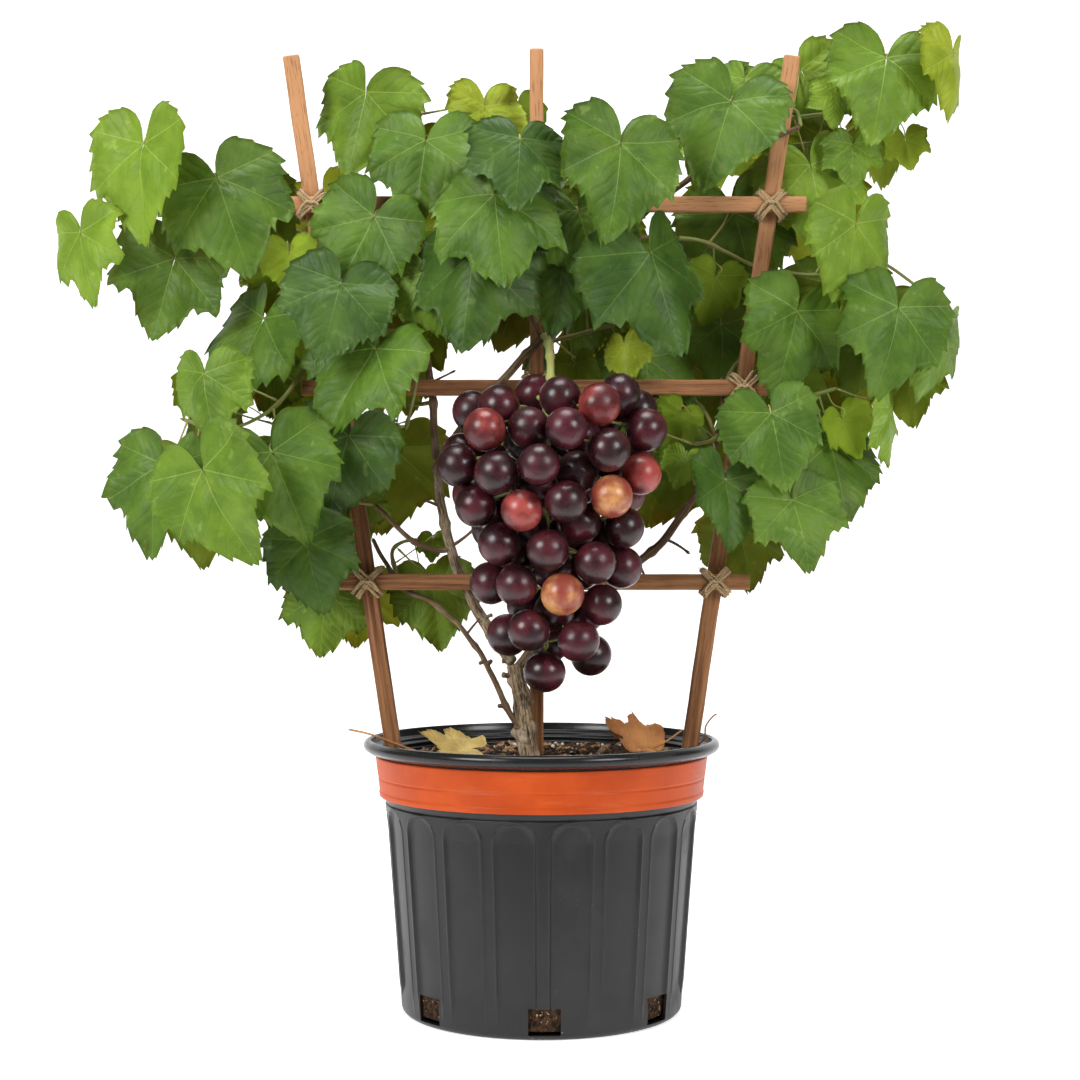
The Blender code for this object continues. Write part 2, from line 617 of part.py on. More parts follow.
def make_lashing(name, centre, parts, cutters):
    """Two flat loops of twine crossed over a joint, one leaning each way, fused where they cross."""
    front = -GAP - RAIL_DEPTH - GAP
    back = POST_DEPTH + GAP
    depth = back - front
    middle = (front + back) / 2
    outer = (2 * (LASHING_REACH + LASHING_THICKNESS), depth + 2 * LASHING_THICKNESS, LASHING_WIDTH)
    inner = (2 * LASHING_REACH, depth, LASHING_WIDTH * 2)
    loops = []
    for lean in (-1, 1):
        place = Matrix.Translation((centre[0], middle, centre[1])) @ Matrix.Rotation(
            lean * math.pi / 4, 4, "Y")
        loop = box(name, outer, parts if lean < 0 else cutters, "jute_twine", place)
        hole = box(f"{name}_hole_{lean}", inner, cutters, matrix=place)
        boolean(loop, "DIFFERENCE", hole)
        apply_modifiers(loop)
        bpy.data.objects.remove(hole)
        loops.append(loop)
    boolean(loops[0], "UNION", loops[1])
    apply_modifiers(loops[0])
    bpy.data.objects.remove(loops[1])
    return loops[0]


def make_lashings(parts, cutters):
    places = []
    for height, _ in RAILS.values():
        for x in (post_centre(-1, height), UPRIGHT_OFFSET, post_centre(1, height)):
            places.append((x, height))
    return [make_lashing(f"lashing_{i + 1}", place, parts, cutters) for i, place in enumerate(places)]


def limb_tube(name):
    """The points along a limb and the radius at each: an even taper, and the trunk's flare at its foot."""
    limb = LIMBS[name]
    route = smooth_route(limb["route"], limb["step"])
    radii = np.interp(lengths_along(route), (0.0, 1.0), limb["radii"])
    if name == "trunk":
        route[1, :2] = route[0, :2]
        height = route[:, 2] - route[0, 2]
        radii *= 1 + (TRUNK_FLARE - 1) * np.clip(1 - height / TRUNK_FLARE_HEIGHT, 0, 1) ** 2
    return route, radii


def make_limbs(parts, cutters):
    """Each limb as a tapering tube whose foot is cut to fit, GAP clear, round the limbs that carry it."""
    limbs = {}
    for name, limb in LIMBS.items():
        route, radii = limb_tube(name)
        obj = add_object(name, tube_mesh(name, [(route, radii)], limb["sides"]), parts, "vine_bark")
        for other in limb["cut_by"]:
            cut_clear_of(obj, other, cutters)
        if limb["cut_by"]:
            apply_modifiers(obj)
            keep_main_shell(obj)
        shade(obj, math.radians(60))
        limbs[name] = obj
    return limbs


def cut_clear_of(obj, limb_name, cutters):
    """Cuts from the object the limb's own shape made GAP thicker all round."""
    name = limb_name + "_clearance"
    cutter = bpy.data.objects.get(name)
    if cutter is None:
        route, radii = limb_tube(limb_name)
        route[0] -= unit(route[1] - route[0]) * GAP
        route[-1] += unit(route[-1] - route[-2]) * GAP
        mesh = tube_mesh(name, [(route, radii + GAP * 1.25)], LIMBS[limb_name]["sides"])
        cutter = add_object(name, mesh, cutters)
        hide_as_cutter(cutter)
    boolean(obj, "DIFFERENCE", cutter)


class Space:
    """The solids that already stand, so that a new twig or leaf can be tested against them."""

    def __init__(self):
        self.taken = []

    def add(self, shape, owner):
        points, faces = shape
        tree = BVHTree.FromPolygons(points.tolist(), faces)
        self.taken.append((tree, points.min(axis=0), points.max(axis=0), owner))

    def free(self, shape, but=None):
        points, faces = shape
        low, high = points.min(axis=0), points.max(axis=0)
        tree = None
        for other, other_low, other_high, owner in self.taken:
            if owner == but or (low > other_high).any() or (high < other_low).any():
                continue
            tree = tree or BVHTree.FromPolygons(points.tolist(), faces)
            if tree.overlap(other):
                return False
        return True


def object_shape(obj):
    bpy.context.view_layer.update()
    graph = bpy.context.evaluated_depsgraph_get()
    mesh = obj.evaluated_get(graph).to_mesh()
    points = np.array([tuple(obj.matrix_world @ vertex.co) for vertex in mesh.vertices])
    return points, [tuple(face.vertices) for face in mesh.polygons]


def tube_shape(points, radii, sides=6):
    """A plain test tube round the points: rings of `sides` corners square to the way between them."""
    points = np.asarray(points, float)
    along = np.gradient(points, axis=0)
    along /= np.linalg.norm(along, axis=1)[:, None]
    helper = np.where(np.abs(along[:, 2:]) > 0.9, (1.0, 0.0, 0.0), (0.0, 0.0, 1.0))
    first = np.cross(along, helper)
    first /= np.linalg.norm(first, axis=1)[:, None]
    second = np.cross(along, first)
    angle = np.arange(sides) * math.tau / sides
    ring = np.cos(angle)[None, :, None] * first[:, None] + np.sin(angle)[None, :, None] * second[:, None]
    corners = points[:, None] + ring * np.asarray(radii, float).reshape(-1, 1, 1)
    faces = []
    for i in range(len(points) - 1):
        for j in range(sides):
            k = (j + 1) % sides
            faces.append((i * sides + j, i * sides + k, (i + 1) * sides + k, (i + 1) * sides + j))
    return corners.reshape(-1, 3), faces


def leaf_outline():
    """Corners of a flat leaf of length 1, x across and y from the junction to the tip.

    They start with the seat, the short edge between the lobes where the petiole joins the blade.
    """
    angles = np.radians([angle for angle, _ in LEAF_HALF])
    reach = np.array([length for _, length in LEAF_HALF])
    right = np.column_stack([np.sin(angles), np.cos(angles)]) * reach[:, None]
    left = right[:0:-1] * (-1, 1)
    return np.vstack([[(-SEAT, SINUS), (SEAT, SINUS)], right[::-1], left[::-1]])


def leaf_corners(leaf):
    """The leaf's corners and then its hub: folded along the midrib and curled towards its tip."""
    flat = np.vstack([leaf_outline(), [(0.0, HUB)]])
    rise = leaf["fold"] * np.abs(flat[:, 0]) - leaf["curl"] * flat[:, 1] * np.abs(flat[:, 1])
    rise -= leaf["droop"] * flat[:, 0] ** 2
    local = np.column_stack([flat[:, 0], flat[:, 1], rise]) * leaf["length"]
    return leaf["joint"] + local @ np.array([leaf["across"], leaf["along"], leaf["normal"]])


def fan(count):
    return [(i, (i + 1) % count, count) for i in range(count)]


def leaf_shape(leaf):
    """The test shape of a leaf: its front and back pushed out by the clearance that it keeps."""
    corners = leaf_corners(leaf)
    count = len(corners) - 1
    shift = leaf["normal"] * LEAF_CLEARANCE
    front = fan(count)
    back = [(a + count + 1, b + count + 1, c + count + 1) for a, b, c in front]
    rim = [(i, (i + 1) % count, (i + 1) % count + count + 1, i + count + 1) for i in range(count)]
    return np.vstack([corners + shift, corners - shift]), front + back + rim


def petiole_route(leaf):
    """From the middle of the stem, out and round to above and behind the blade, and down to its seat."""
    start = leaf["root"]
    seat = leaf["joint"] + leaf["along"] * SINUS * leaf["length"]
    above = seat - leaf["along"] * SEAT_DROP - leaf["normal"] * SEAT_DEPTH
    bend = start + leaf["leave"] * PETIOLE_REACH * np.linalg.norm(above - start)
    t = np.array([0.0, 0.5, 1.0])[:, None]
    curve = (1 - t) ** 2 * start + 2 * t * (1 - t) * bend + t ** 2 * above
    return np.vstack([curve, seat])


def leaf_solid(leaf):
    """The closed shape of a leaf: a blade that is thickest at its hub, and a three-sided petiole.

    The petiole's last ring is the seat's two corners and a heel behind them, so that the back of the
    blade runs on into the petiole. The rings before it turn with the petiole, from the seat to the root.
    """
    corners = leaf_corners(leaf)
    count = len(corners) - 1
    swell = leaf["normal"] * LEAF_THICKNESS / 2
    route = petiole_route(leaf)
    heel = route[-1] - leaf["normal"] * PETIOLE_RADIUS * HEEL
    points = list(corners[:-1]) + [corners[-1] + swell, corners[-1] - swell, heel]
    front, back, ring = count, count + 1, (0, 1, count + 2)
    faces = [(i, (i + 1) % count, front) for i in range(count)]
    faces += [((i + 1) % count, i, back) for i in range(1, count)]
    faces += [(ring[2], 0, back), (1, ring[2], back)]
    wide = leaf["across"]
    for place, after in zip(route[-2::-1], route[:0:-1]):
        way = unit(after - place)
        wide = unit(wide - way * float(wide @ way))
        deep = np.cross(way, wide)
        start = len(points)
        points += [place - wide * PETIOLE_RADIUS, place + wide * PETIOLE_RADIUS,
                   place + deep * PETIOLE_RADIUS * HEEL]
        fresh = (start, start + 1, start + 2)
        faces += [(fresh[i], fresh[i - 1], ring[i - 1], ring[i]) for i in range(3)]
        ring = fresh
    faces.append(ring)
    return np.array(points), faces


def new_leaf(root, stem_way, spot, facing, size, rng):
    """One leaf: its petiole leaves the stem to one side, and its blade hangs tip down in front of it.

    The last leaf of a stem is younger, carries the stem's own direction on and faces that way.
    """
    down = np.array([0.0, 0.0, -1.0])
    if abs(spot) == 1.0:
        size = size * LAST_LEAF
        facing = unit(facing + stem_way * (1.0, 1.0, 0.0))
    lateral = unit(np.cross(stem_way, facing)) * math.copysign(1.0, spot)
    forward = 1.6 if abs(spot) == 1.0 else rng.uniform(0.25, 0.45)
    leave = unit(lateral + stem_way * forward + facing * 0.25)
    if leave[2] < 0:
        leave = unit(leave * (0.45, 1.0, 1.0))
    reach = PETIOLE * rng.uniform(0.9, 1.1)
    joint = root + leave * reach + facing * LIFT * rng.uniform(0.7, 1.3)
    turn = rng.uniform(-0.55, 0.55)
    tilt = rng.uniform(-0.02, 0.50)
    right = unit(np.cross(facing, down))
    normal = unit(facing + right * turn - down * tilt)
    outward = math.copysign(1.0, float(lateral @ right)) if abs(lateral @ right) > 0.3 else 0.0
    along = down + right * (outward * rng.uniform(0.0, 0.40) + rng.uniform(-0.25, 0.25))
    along = unit(along - normal * float(along @ normal))
    return dict(
        root=root, leave=leave, joint=joint, normal=normal, along=along,
        across=np.cross(along, normal), length=size * rng.uniform(0.9, 1.1),
        fold=rng.uniform(-0.42, 0.26), curl=rng.uniform(0.02, 0.34), droop=rng.uniform(-0.10, 0.40))


def fit_leaf(leaf, facing, shoot_name, space):
    """Moves the leaf forward or back until it and its petiole touch nothing; None where it can't."""
    for scale in SMALLER:
        for step in DEPTH_STEPS:
            moved = dict(leaf, joint=leaf["joint"] + facing * step, length=leaf["length"] * scale)
            stalk = petiole_route(moved)
            radii = np.full(len(stalk), PETIOLE_RADIUS + STALK_CLEARANCE)
            if not space.free(leaf_shape(moved)):
                continue
            if space.free(tube_shape(stalk, radii), but=shoot_name + "_stem"):
                stalk[0] += unit(stalk[1] - stalk[0]) * (STEM_RADIUS + STALK_CLEARANCE * 3)
                space.add(leaf_shape(moved), shoot_name)
                space.add(tube_shape(stalk, radii), shoot_name)
                return moved
    return None


def shoot_stem(shoot):
    """The stem's points and radii, from the middle of the limb that carries it, or just past its tip."""
    limb_route, _ = limb_tube(shoot["limb"])
    start, way = place_along(limb_route, shoot["at"])
    if shoot["at"] == 1.0:
        start = start + way * GAP * 1.5
    route = smooth_route((tuple(start),) + shoot["route"], STEM_STEP)
    return route, np.interp(lengths_along(route), (0.0, 1.0), (STEM_RADIUS, STEM_TIP_RADIUS))


def grow_shoots(space):
    """Every shoot's stem, then all the front leaves, then all the back ones, by one seeded rule."""
    grown = {}
    draws = {}
    for name, shoot in SHOOTS.items():
        route, radii = shoot_stem(shoot)
        grown[name] = dict(route=route, radii=radii, leaves=[])
        draws[name] = np.random.default_rng(shoot["seed"])
        space.add(tube_shape(route, radii + STALK_CLEARANCE), name + "_stem")
    for turned_round in (False, True):
        for name, shoot in SHOOTS.items():
            back_spots = [(-1) ** i * (i + 0.7) / shoot["back"] for i in range(shoot["back"])]
            face = math.radians(shoot["face"] + (180 if turned_round else 0))
            for spot in back_spots if turned_round else shoot["leaves"]:
                root, way = place_along(grown[name]["route"], abs(spot) * 0.985)
                turn = face + draws[name].uniform(-0.15, 0.15)
                facing = np.array([math.sin(turn), -math.cos(turn), 0.0])
                leaf = new_leaf(root, way, spot, facing, shoot["leaf"], draws[name])
                fitted = fit_leaf(leaf, facing, name, space)
                if fitted:
                    grown[name]["leaves"].append(fitted)
    return grown


def leaves_object(name, leaves, collection):
    """All the leaves of a shoot with their petioles, each a closed shape in one mesh."""
    points = []
    faces = []
    for leaf in leaves:
        shape, corners = leaf_solid(leaf)
        faces.extend([tuple(corner + len(points) for corner in face) for face in corners])
        points.extend(shape.tolist())
    mesh = bpy.data.meshes.new(name)
    mesh.from_pydata(points, [], faces)
    form = bmesh.new()
    form.from_mesh(mesh)
    bmesh.ops.recalc_face_normals(form, faces=form.faces)
    form.to_mesh(mesh)
    form.free()
    return add_object(name, mesh, collection)


def make_shoots(grown, parts, cutters):
    """Each shoot as one solid: its stem, and its leaves joined on by one union."""
    for name, growth in grown.items():
        stem_mesh = tube_mesh(name, [(growth["route"], growth["radii"])], TWIG_SIDES)
        stem = add_object(name, stem_mesh, parts, "vine_leaf")
        limb = SHOOTS[name]["limb"]
        borne = tuple(other for other in LIMBS if limb in LIMBS[other]["cut_by"])
        for other in (limb,) + LIMBS[limb]["cut_by"] + borne:
            cut_clear_of(stem, other, cutters)
        apply_modifiers(stem)
        keep_main_shell(stem)
        joined = new_collection(name + "_joined")
        leaves_object(name + "_leaves", growth["leaves"], joined)
        join_all(stem, joined, "vine_leaf")


def berry_centres():
    """All the berries' middles; the ones that show from the front give way mostly in depth."""
    rng = np.random.default_rng(BUNCH_SEED)
    places = [np.array(FRONT_BERRIES)]
    for height, wide, deep, count in BACK_ROWS:
        angle = math.pi / 2 + (np.arange(count) + 0.5 + rng.uniform(-0.2, 0.2, count)) * math.pi / count
        places.append(np.column_stack([
            BACK_MIDDLE + wide * np.sin(angle),
            BUNCH_AXIS[1] - deep * np.cos(angle),
            height + rng.uniform(-BERRY_JITTER, BERRY_JITTER, count)]))
    for height, wide, count in CORE_ROWS:
        angle = (np.arange(count) + rng.uniform(0, 1)) * math.tau / count
        places.append(np.column_stack([
            BACK_MIDDLE + wide * np.sin(angle),
            BUNCH_AXIS[1] - wide * np.cos(angle),
            np.full(count, height)]))
    centres = np.vstack(places)
    ease = np.ones_like(centres)
    ease[:len(FRONT_BERRIES)] = FRONT_EASE
    least = 2 * BERRY_RADIUS + GAP
    for _ in range(400):
        way = centres[:, None] - centres[None]
        apart = np.linalg.norm(way, axis=2) + np.eye(len(centres))
        push = np.clip(least - apart, 0, None) * (1 - np.eye(len(centres)))
        centres = centres + 0.25 * ease * (way / apart[:, :, None] * push[:, :, None]).sum(axis=1)
    return centres


def make_bunch(parts, cutters):
    """The bunch: rachis, a pedicel to each berry and the berries, joined by one union."""
    route = smooth_route(PEDUNCLE, 0.016)
    radii = np.interp(lengths_along(route), (0.0, 1.0), PEDUNCLE_RADII)
    bunch = add_object("grape_bunch", tube_mesh("grape_bunch", [(route, radii)], 6), parts, "grape_skin")
    for other in ("arm_lower", "centre_twig"):
        cut_clear_of(bunch, other, cutters)
    apply_modifiers(bunch)
    keep_main_shell(bunch)
    joined = new_collection("grape_bunch_joined")
    berries = bmesh.new()
    pedicels = bmesh.new()
    for centre in berry_centres():
        bmesh.ops.create_uvsphere(berries, u_segments=BERRY_SEGMENTS, v_segments=BERRY_RINGS,
                                  radius=BERRY_RADIUS, matrix=Matrix.Translation(centre))
        stem_height = min(centre[2] + 0.010, PEDUNCLE[4][2])
        start = np.array([BUNCH_AXIS[0], BUNCH_AXIS[1], max(stem_height, PEDUNCLE[-1][2] + 0.002)])
        way = Vector(centre - start).normalized()
        end = Vector(centre) - way * BERRY_RADIUS * PEDICEL_DEPTH
        length = (end - Vector(start)).length
        turn = Vector((0.0, 0.0, 1.0)).rotation_difference(way).to_matrix().to_4x4()
        place = Matrix.Translation((Vector(start) + end) / 2) @ turn
        bmesh.ops.create_cone(pedicels, cap_ends=True, segments=3, radius1=PEDICEL_RADIUS,
                              radius2=PEDICEL_RADIUS, depth=length, matrix=place)
    for name, form in (("berries", berries), ("pedicels", pedicels)):
        mesh = bpy.data.meshes.new(name)
        form.to_mesh(mesh)
        form.free()
        add_object(name, mesh, joined)
    join_all(bunch, joined, "grape_skin")
    shade(bunch, math.radians(50))
    return bunch


def build():
    clear_scene()
    parts = new_collection(OBJECT_NAME)
    cutters = new_collection("cutters")
    bars, sockets = make_trellis(parts, cutters)
    make_pot(parts, cutters)
    make_band(parts)
    make_soil(parts, sockets)
    lashings = make_lashings(parts, cutters)
    limbs = make_limbs(parts, cutters)
    bunch = make_bunch(parts, cutters)
    space = Space()
    for obj in bars + lashings + list(limbs.values()) + [bunch]:
        space.add(object_shape(obj), obj.name)
    grown = grow_shoots(space)
    make_shoots(grown, parts, cutters)
    return grown


if __name__ == "__main__":
    build()
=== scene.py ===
# %% [markdown]
# # A grapevine in its pot
# The frame holds the plain solids of a young muscadine vine: a nursery pot filled with soil, a small
# wooden trellis lashed with twine, a trunk with its canes, leafy shoots and one bunch of grapes. This
# lesson gives every one of them its finished surface, in the same place and at the same size.

# %% Load the frame
import math

import bpy
import numpy as np
from mathutils.bvhtree import BVHTree
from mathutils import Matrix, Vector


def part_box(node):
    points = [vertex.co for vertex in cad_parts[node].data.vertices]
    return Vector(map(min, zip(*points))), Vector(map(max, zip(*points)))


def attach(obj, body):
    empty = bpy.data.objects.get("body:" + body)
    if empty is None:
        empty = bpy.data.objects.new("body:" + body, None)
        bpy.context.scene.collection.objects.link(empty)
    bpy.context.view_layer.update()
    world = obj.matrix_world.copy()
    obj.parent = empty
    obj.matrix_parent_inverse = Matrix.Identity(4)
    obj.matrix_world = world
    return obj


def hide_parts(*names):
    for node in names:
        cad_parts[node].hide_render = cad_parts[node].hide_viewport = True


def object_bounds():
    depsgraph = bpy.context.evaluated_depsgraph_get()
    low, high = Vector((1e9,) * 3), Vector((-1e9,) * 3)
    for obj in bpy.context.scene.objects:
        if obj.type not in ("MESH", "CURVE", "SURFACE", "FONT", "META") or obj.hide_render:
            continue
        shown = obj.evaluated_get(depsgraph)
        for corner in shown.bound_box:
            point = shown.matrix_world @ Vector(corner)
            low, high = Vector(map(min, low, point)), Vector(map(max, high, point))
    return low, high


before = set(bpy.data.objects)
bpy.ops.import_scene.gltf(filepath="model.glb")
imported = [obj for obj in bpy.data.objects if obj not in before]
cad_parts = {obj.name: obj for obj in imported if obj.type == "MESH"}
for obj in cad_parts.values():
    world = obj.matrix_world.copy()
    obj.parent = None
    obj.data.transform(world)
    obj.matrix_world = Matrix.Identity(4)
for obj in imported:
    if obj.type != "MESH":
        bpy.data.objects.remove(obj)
cad_box = [list(corner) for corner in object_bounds()]
print("the solids reach from", np.round(cad_box[0], 3), "to", np.round(cad_box[1], 3))

# %% [markdown]
# ## Camera
# The photograph looks straight at the plant from a little above the middle, with no tilt, so that the
# trellis posts stay straight. A level camera with a short telephoto lens does the same. Its place was
# found from how round the pot's rim and foot look.

# %% Camera
CAMERA_PLACE = (-0.0011, -1.4797, 0.3377)
CAMERA_LENS = 68.3


def into_scene(name, data):
    """A new object with that data, linked into the scene."""
    made = bpy.data.objects.new(name, data)
    bpy.context.scene.collection.objects.link(made)
    return made


camera_data = bpy.data.cameras.new("camera")
camera_data.lens = CAMERA_LENS
camera = into_scene("camera", camera_data)
camera.location = CAMERA_PLACE
camera.rotation_euler = (math.pi / 2, 0.0, 0.0)
bpy.context.scene.camera = camera
print("camera", CAMERA_LENS, "mm")

# %% [markdown]
# ## A surface from arrays
# Every piece below is a grid of points worked out as whole numpy arrays. This small class gathers such
# grids, with a place on the surface (a UV) for every corner of a face and a material slot for every
# face, and makes one mesh of them. It is quicker than adding vertices one at a time, and it keeps each
# shape's formula in one line.


# %% Gather grids into a piece
class Shape:
    """Grids of points and their faces, gathered until they become one object."""

    def __init__(self):
        self.points, self.faces, self.places, self.slots = [], [], [], []
        self.count = 0

    def add(self, points, faces, places, slot=0):
        """points: any array of xyz; faces: n by 3 or 4; places: a uv for each point, or for each corner."""
        points = points.reshape(-1, 3)
        if places.ndim == 2:
            places = places[faces]
        self.points.append(points)
        self.faces.append(faces + self.count)
        self.places.append(places.reshape(-1, 2))
        self.slots.append(np.full(len(faces), slot))
        self.count += len(points)

    def extend(self, faces, places, slot=0):
        """More faces on the points that were added last: faces count from that group's first point."""
        start = self.count - len(self.points[-1])
        self.faces.append(faces + start)
        self.places.append(places.reshape(-1, 2))
        self.slots.append(np.full(len(faces), slot))

    def piece(self, name, materials, stands_for, slot, sharp=None):
        """The object: its mesh and its materials, with the frame's parts that it stands for hidden. Edges
        past `sharp` are hard; `slot` is not used.
        """
        mesh = bpy.data.meshes.new(name)
        points = np.vstack(self.points).astype(np.float32)
        corners = np.concatenate([faces.ravel() for faces in self.faces]).astype(np.int32)
        sizes = np.concatenate([np.full(len(faces), faces.shape[1]) for faces in self.faces])
        starts = (np.cumsum(sizes) - sizes).astype(np.int32)
        mesh.vertices.add(len(points))
        mesh.vertices.foreach_set("co", points.ravel())
        mesh.loops.add(len(corners))
        mesh.loops.foreach_set("vertex_index", corners)
        mesh.polygons.add(len(sizes))
        mesh.polygons.foreach_set("loop_start", starts)
        mesh.update(calc_edges=True)
        mesh.uv_layers.new(name="place")
        mesh.uv_layers[0].data.foreach_set("uv", np.vstack(self.places).astype(np.float32).ravel())
        mesh.polygons.foreach_set("material_index", np.concatenate(self.slots).astype(np.int32))
        mesh.shade_smooth()
        for material in materials:
            mesh.materials.append(material)
        if sharp:
            mesh.set_sharp_from_angle(angle=math.radians(sharp))
        obj = into_scene(name, mesh)
        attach(obj, "root")
        if stands_for:
            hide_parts(*stands_for)
        print(f"{name}: {(sizes - 2).sum()} triangles")
        return obj


def grid(rows, columns, wrap=False):
    """Faces of a grid of rows by columns points, and for each corner its (column, row)."""
    across = columns if wrap else columns - 1
    row, column = [part.ravel() for part in np.mgrid[0:rows - 1, 0:across]]
    after = (column + 1) % columns
    faces = np.column_stack([row * columns + column, row * columns + after,
                             (row + 1) * columns + after, (row + 1) * columns + column])
    places = np.stack([np.column_stack([column, row]), np.column_stack([column + 1, row]),
                       np.column_stack([column + 1, row + 1]), np.column_stack([column, row + 1])], axis=1)
    return faces, places.astype(float)


def pole_fans(rows, columns):
    """Triangles from a pole to the first ring of a wrapped grid, and from another to its last."""
    now = np.arange(columns)
    after = (now + 1) % columns
    last = (rows - 1) * columns
    low = np.column_stack([np.full(columns, rows * columns), after, now])
    high = np.column_stack([np.full(columns, rows * columns + 1), now + last, after + last])
    return np.vstack([low, high])


def add_skin(shape, rings, poles, across=1.0, along=None, slot=0):
    """Rings of points, counter-clockwise about the way from first to last, closed by a pole at each end.

    A place is (share of the way round times `across`, the ring's own `along`).
    """
    rows, columns = rings.shape[:2]
    along = np.arange(rows) / rows if along is None else along
    faces, corners = grid(rows, columns, wrap=True)
    places = np.stack([corners[..., 0] / columns * across, along[corners[..., 1].astype(int)]], axis=-1)
    shape.add(np.vstack([rings.reshape(-1, 3), poles]), faces, places, slot)
    spots = (np.arange(columns)[:, None] + (0.5, 1.0, 0.0)) / columns * across
    ends = [np.stack([spots, np.full(spots.shape, along[row])], axis=-1) for row in (0, -1)]
    ends[1] = ends[1][:, [0, 2, 1]]
    shape.extend(pole_fans(rows, columns), np.vstack(ends), slot)


def unit(vector):
    """The same way, one long."""
    return np.asarray(vector, float) / np.linalg.norm(vector)


def units(rows):
    """Each row over its own length."""
    return rows / np.linalg.norm(rows, axis=1)[:, None]


def turns(count):
    """The angles of that many even steps round a full turn."""
    return np.arange(count) * math.tau / count


def around_axis(angle, side, up):
    """cos a side + sin a up."""
    return np.cos(angle)[:, None] * side + np.sin(angle)[:, None] * up


def stacked(*parts):
    """Points from their x, y and z, which are spread to one shape first."""
    return np.stack(np.broadcast_arrays(*parts), axis=-1)


# %% [markdown]
# ## Stems, canes and twine
# A cane, a petiole and a strand of twine are all a round section carried along a path. The path is a
# Catmull-Rom curve through a few points, the rings turn with it without twisting, and a relief may push
# each point of a ring in or out.


# %% Carry a ring along a path
def smooth_route(points, step):
    """Points about `step` apart on a Catmull-Rom curve through the given points."""
    points = np.asarray(points, float)
    ends = np.vstack([2 * points[0] - points[1], points, 2 * points[-1] - points[-2]])
    spans = []
    for before, start, end, after in zip(ends, ends[1:], ends[2:], ends[3:]):
        count = max(1, round(float(np.linalg.norm(end - start)) / step))
        t = np.arange(count)[:, None] / count
        spans.append(0.5 * (2 * start + (end - before) * t
                            + (2 * before - 5 * start + 4 * end - after) * t ** 2
                            + (3 * start - before - 3 * end + after) * t ** 3))
    spans.append(points[-1:])
    return np.vstack(spans)


def distances(path):
    """How far along the path each of its points is."""
    return np.concatenate([[0.0], np.cumsum(np.linalg.norm(np.diff(path, axis=0), axis=1))])


def lengths_along(route):
    """The share of the whole length at each point of the route, from 0 to 1."""
    length = distances(route)
    return length / length[-1]


def place_along(route, share):
    """The point of the route at that share of its length, and the direction there."""
    shares = lengths_along(route)
    point = np.array([np.interp(share, shares, route[:, axis]) for axis in range(3)])
    span = min(int(np.searchsorted(shares, share, side="right")), len(route) - 1)
    return point, unit(route[span] - route[span - 1])


def frames_along(path):
    """The way along the path at each station, and two directions square to it that don't twist."""
    along = units(np.gradient(path, axis=0))
    side = np.empty_like(path)
    turning = np.cross(along[0], (0.31, 0.90, 0.23))
    for station, way in enumerate(along):
        turning = unit(turning - way * (turning @ way))
        side[station] = turning
    return along, side, np.cross(along, side)


def add_tube(shape, path, radius, around, relief=None, slot=0, closed=False):
    """path + radius (1 + relief) (cos a side + sin a up): a tube with rounded, closed ends.

    Its places are the share of the way round and the length along, in metres.
    """
    stations = len(path)
    _, side, up = frames_along(path)
    ring = around_axis(turns(around), side[:, None], up[:, None])
    reach = np.broadcast_to(np.asarray(radius, float), (stations,))[:, None] * np.ones(around)
    if relief is not None:
        reach = reach * (1 + relief)
    points = path[:, None] + ring * reach[:, :, None]
    length = distances(path)
    if closed:
        faces, corners = grid(stations + 1, around, wrap=True)
        faces = faces % (stations * around)
        length = np.append(length, length[-1] + np.linalg.norm(path[0] - path[-1]))
        places = np.stack([corners[..., 0] / around, length[corners[..., 1].astype(int)]], axis=-1)
        shape.add(points, faces, places, slot)
        return
    add_skin(shape, points, path[[0, -1]], 1.0, length, slot)


def rounded_ends(path, radius, reach):
    """The radius drawn in over `reach` at both ends as sqrt(1 - (1 - d / reach)^2)."""
    length = distances(path)
    inward = np.clip(np.minimum(length, length[-1] - length) / reach, 0.0, 1.0)
    return radius * np.sqrt(np.clip(1 - (1 - inward) ** 2, 0.02, 1.0))


def waves(rng, points, size, count=12):
    """A soft random field: the mean of sin(k . p + phase) over waves of about that size every way."""
    ways = rng.normal(size=(count, 3))
    ways *= math.tau / size * rng.uniform(0.6, 1.6, count)[:, None] / np.linalg.norm(ways, axis=1)[:, None]
    phase = rng.uniform(0, math.tau, count)
    return np.sin(points @ ways.T + phase).sum(axis=-1) / math.sqrt(count)
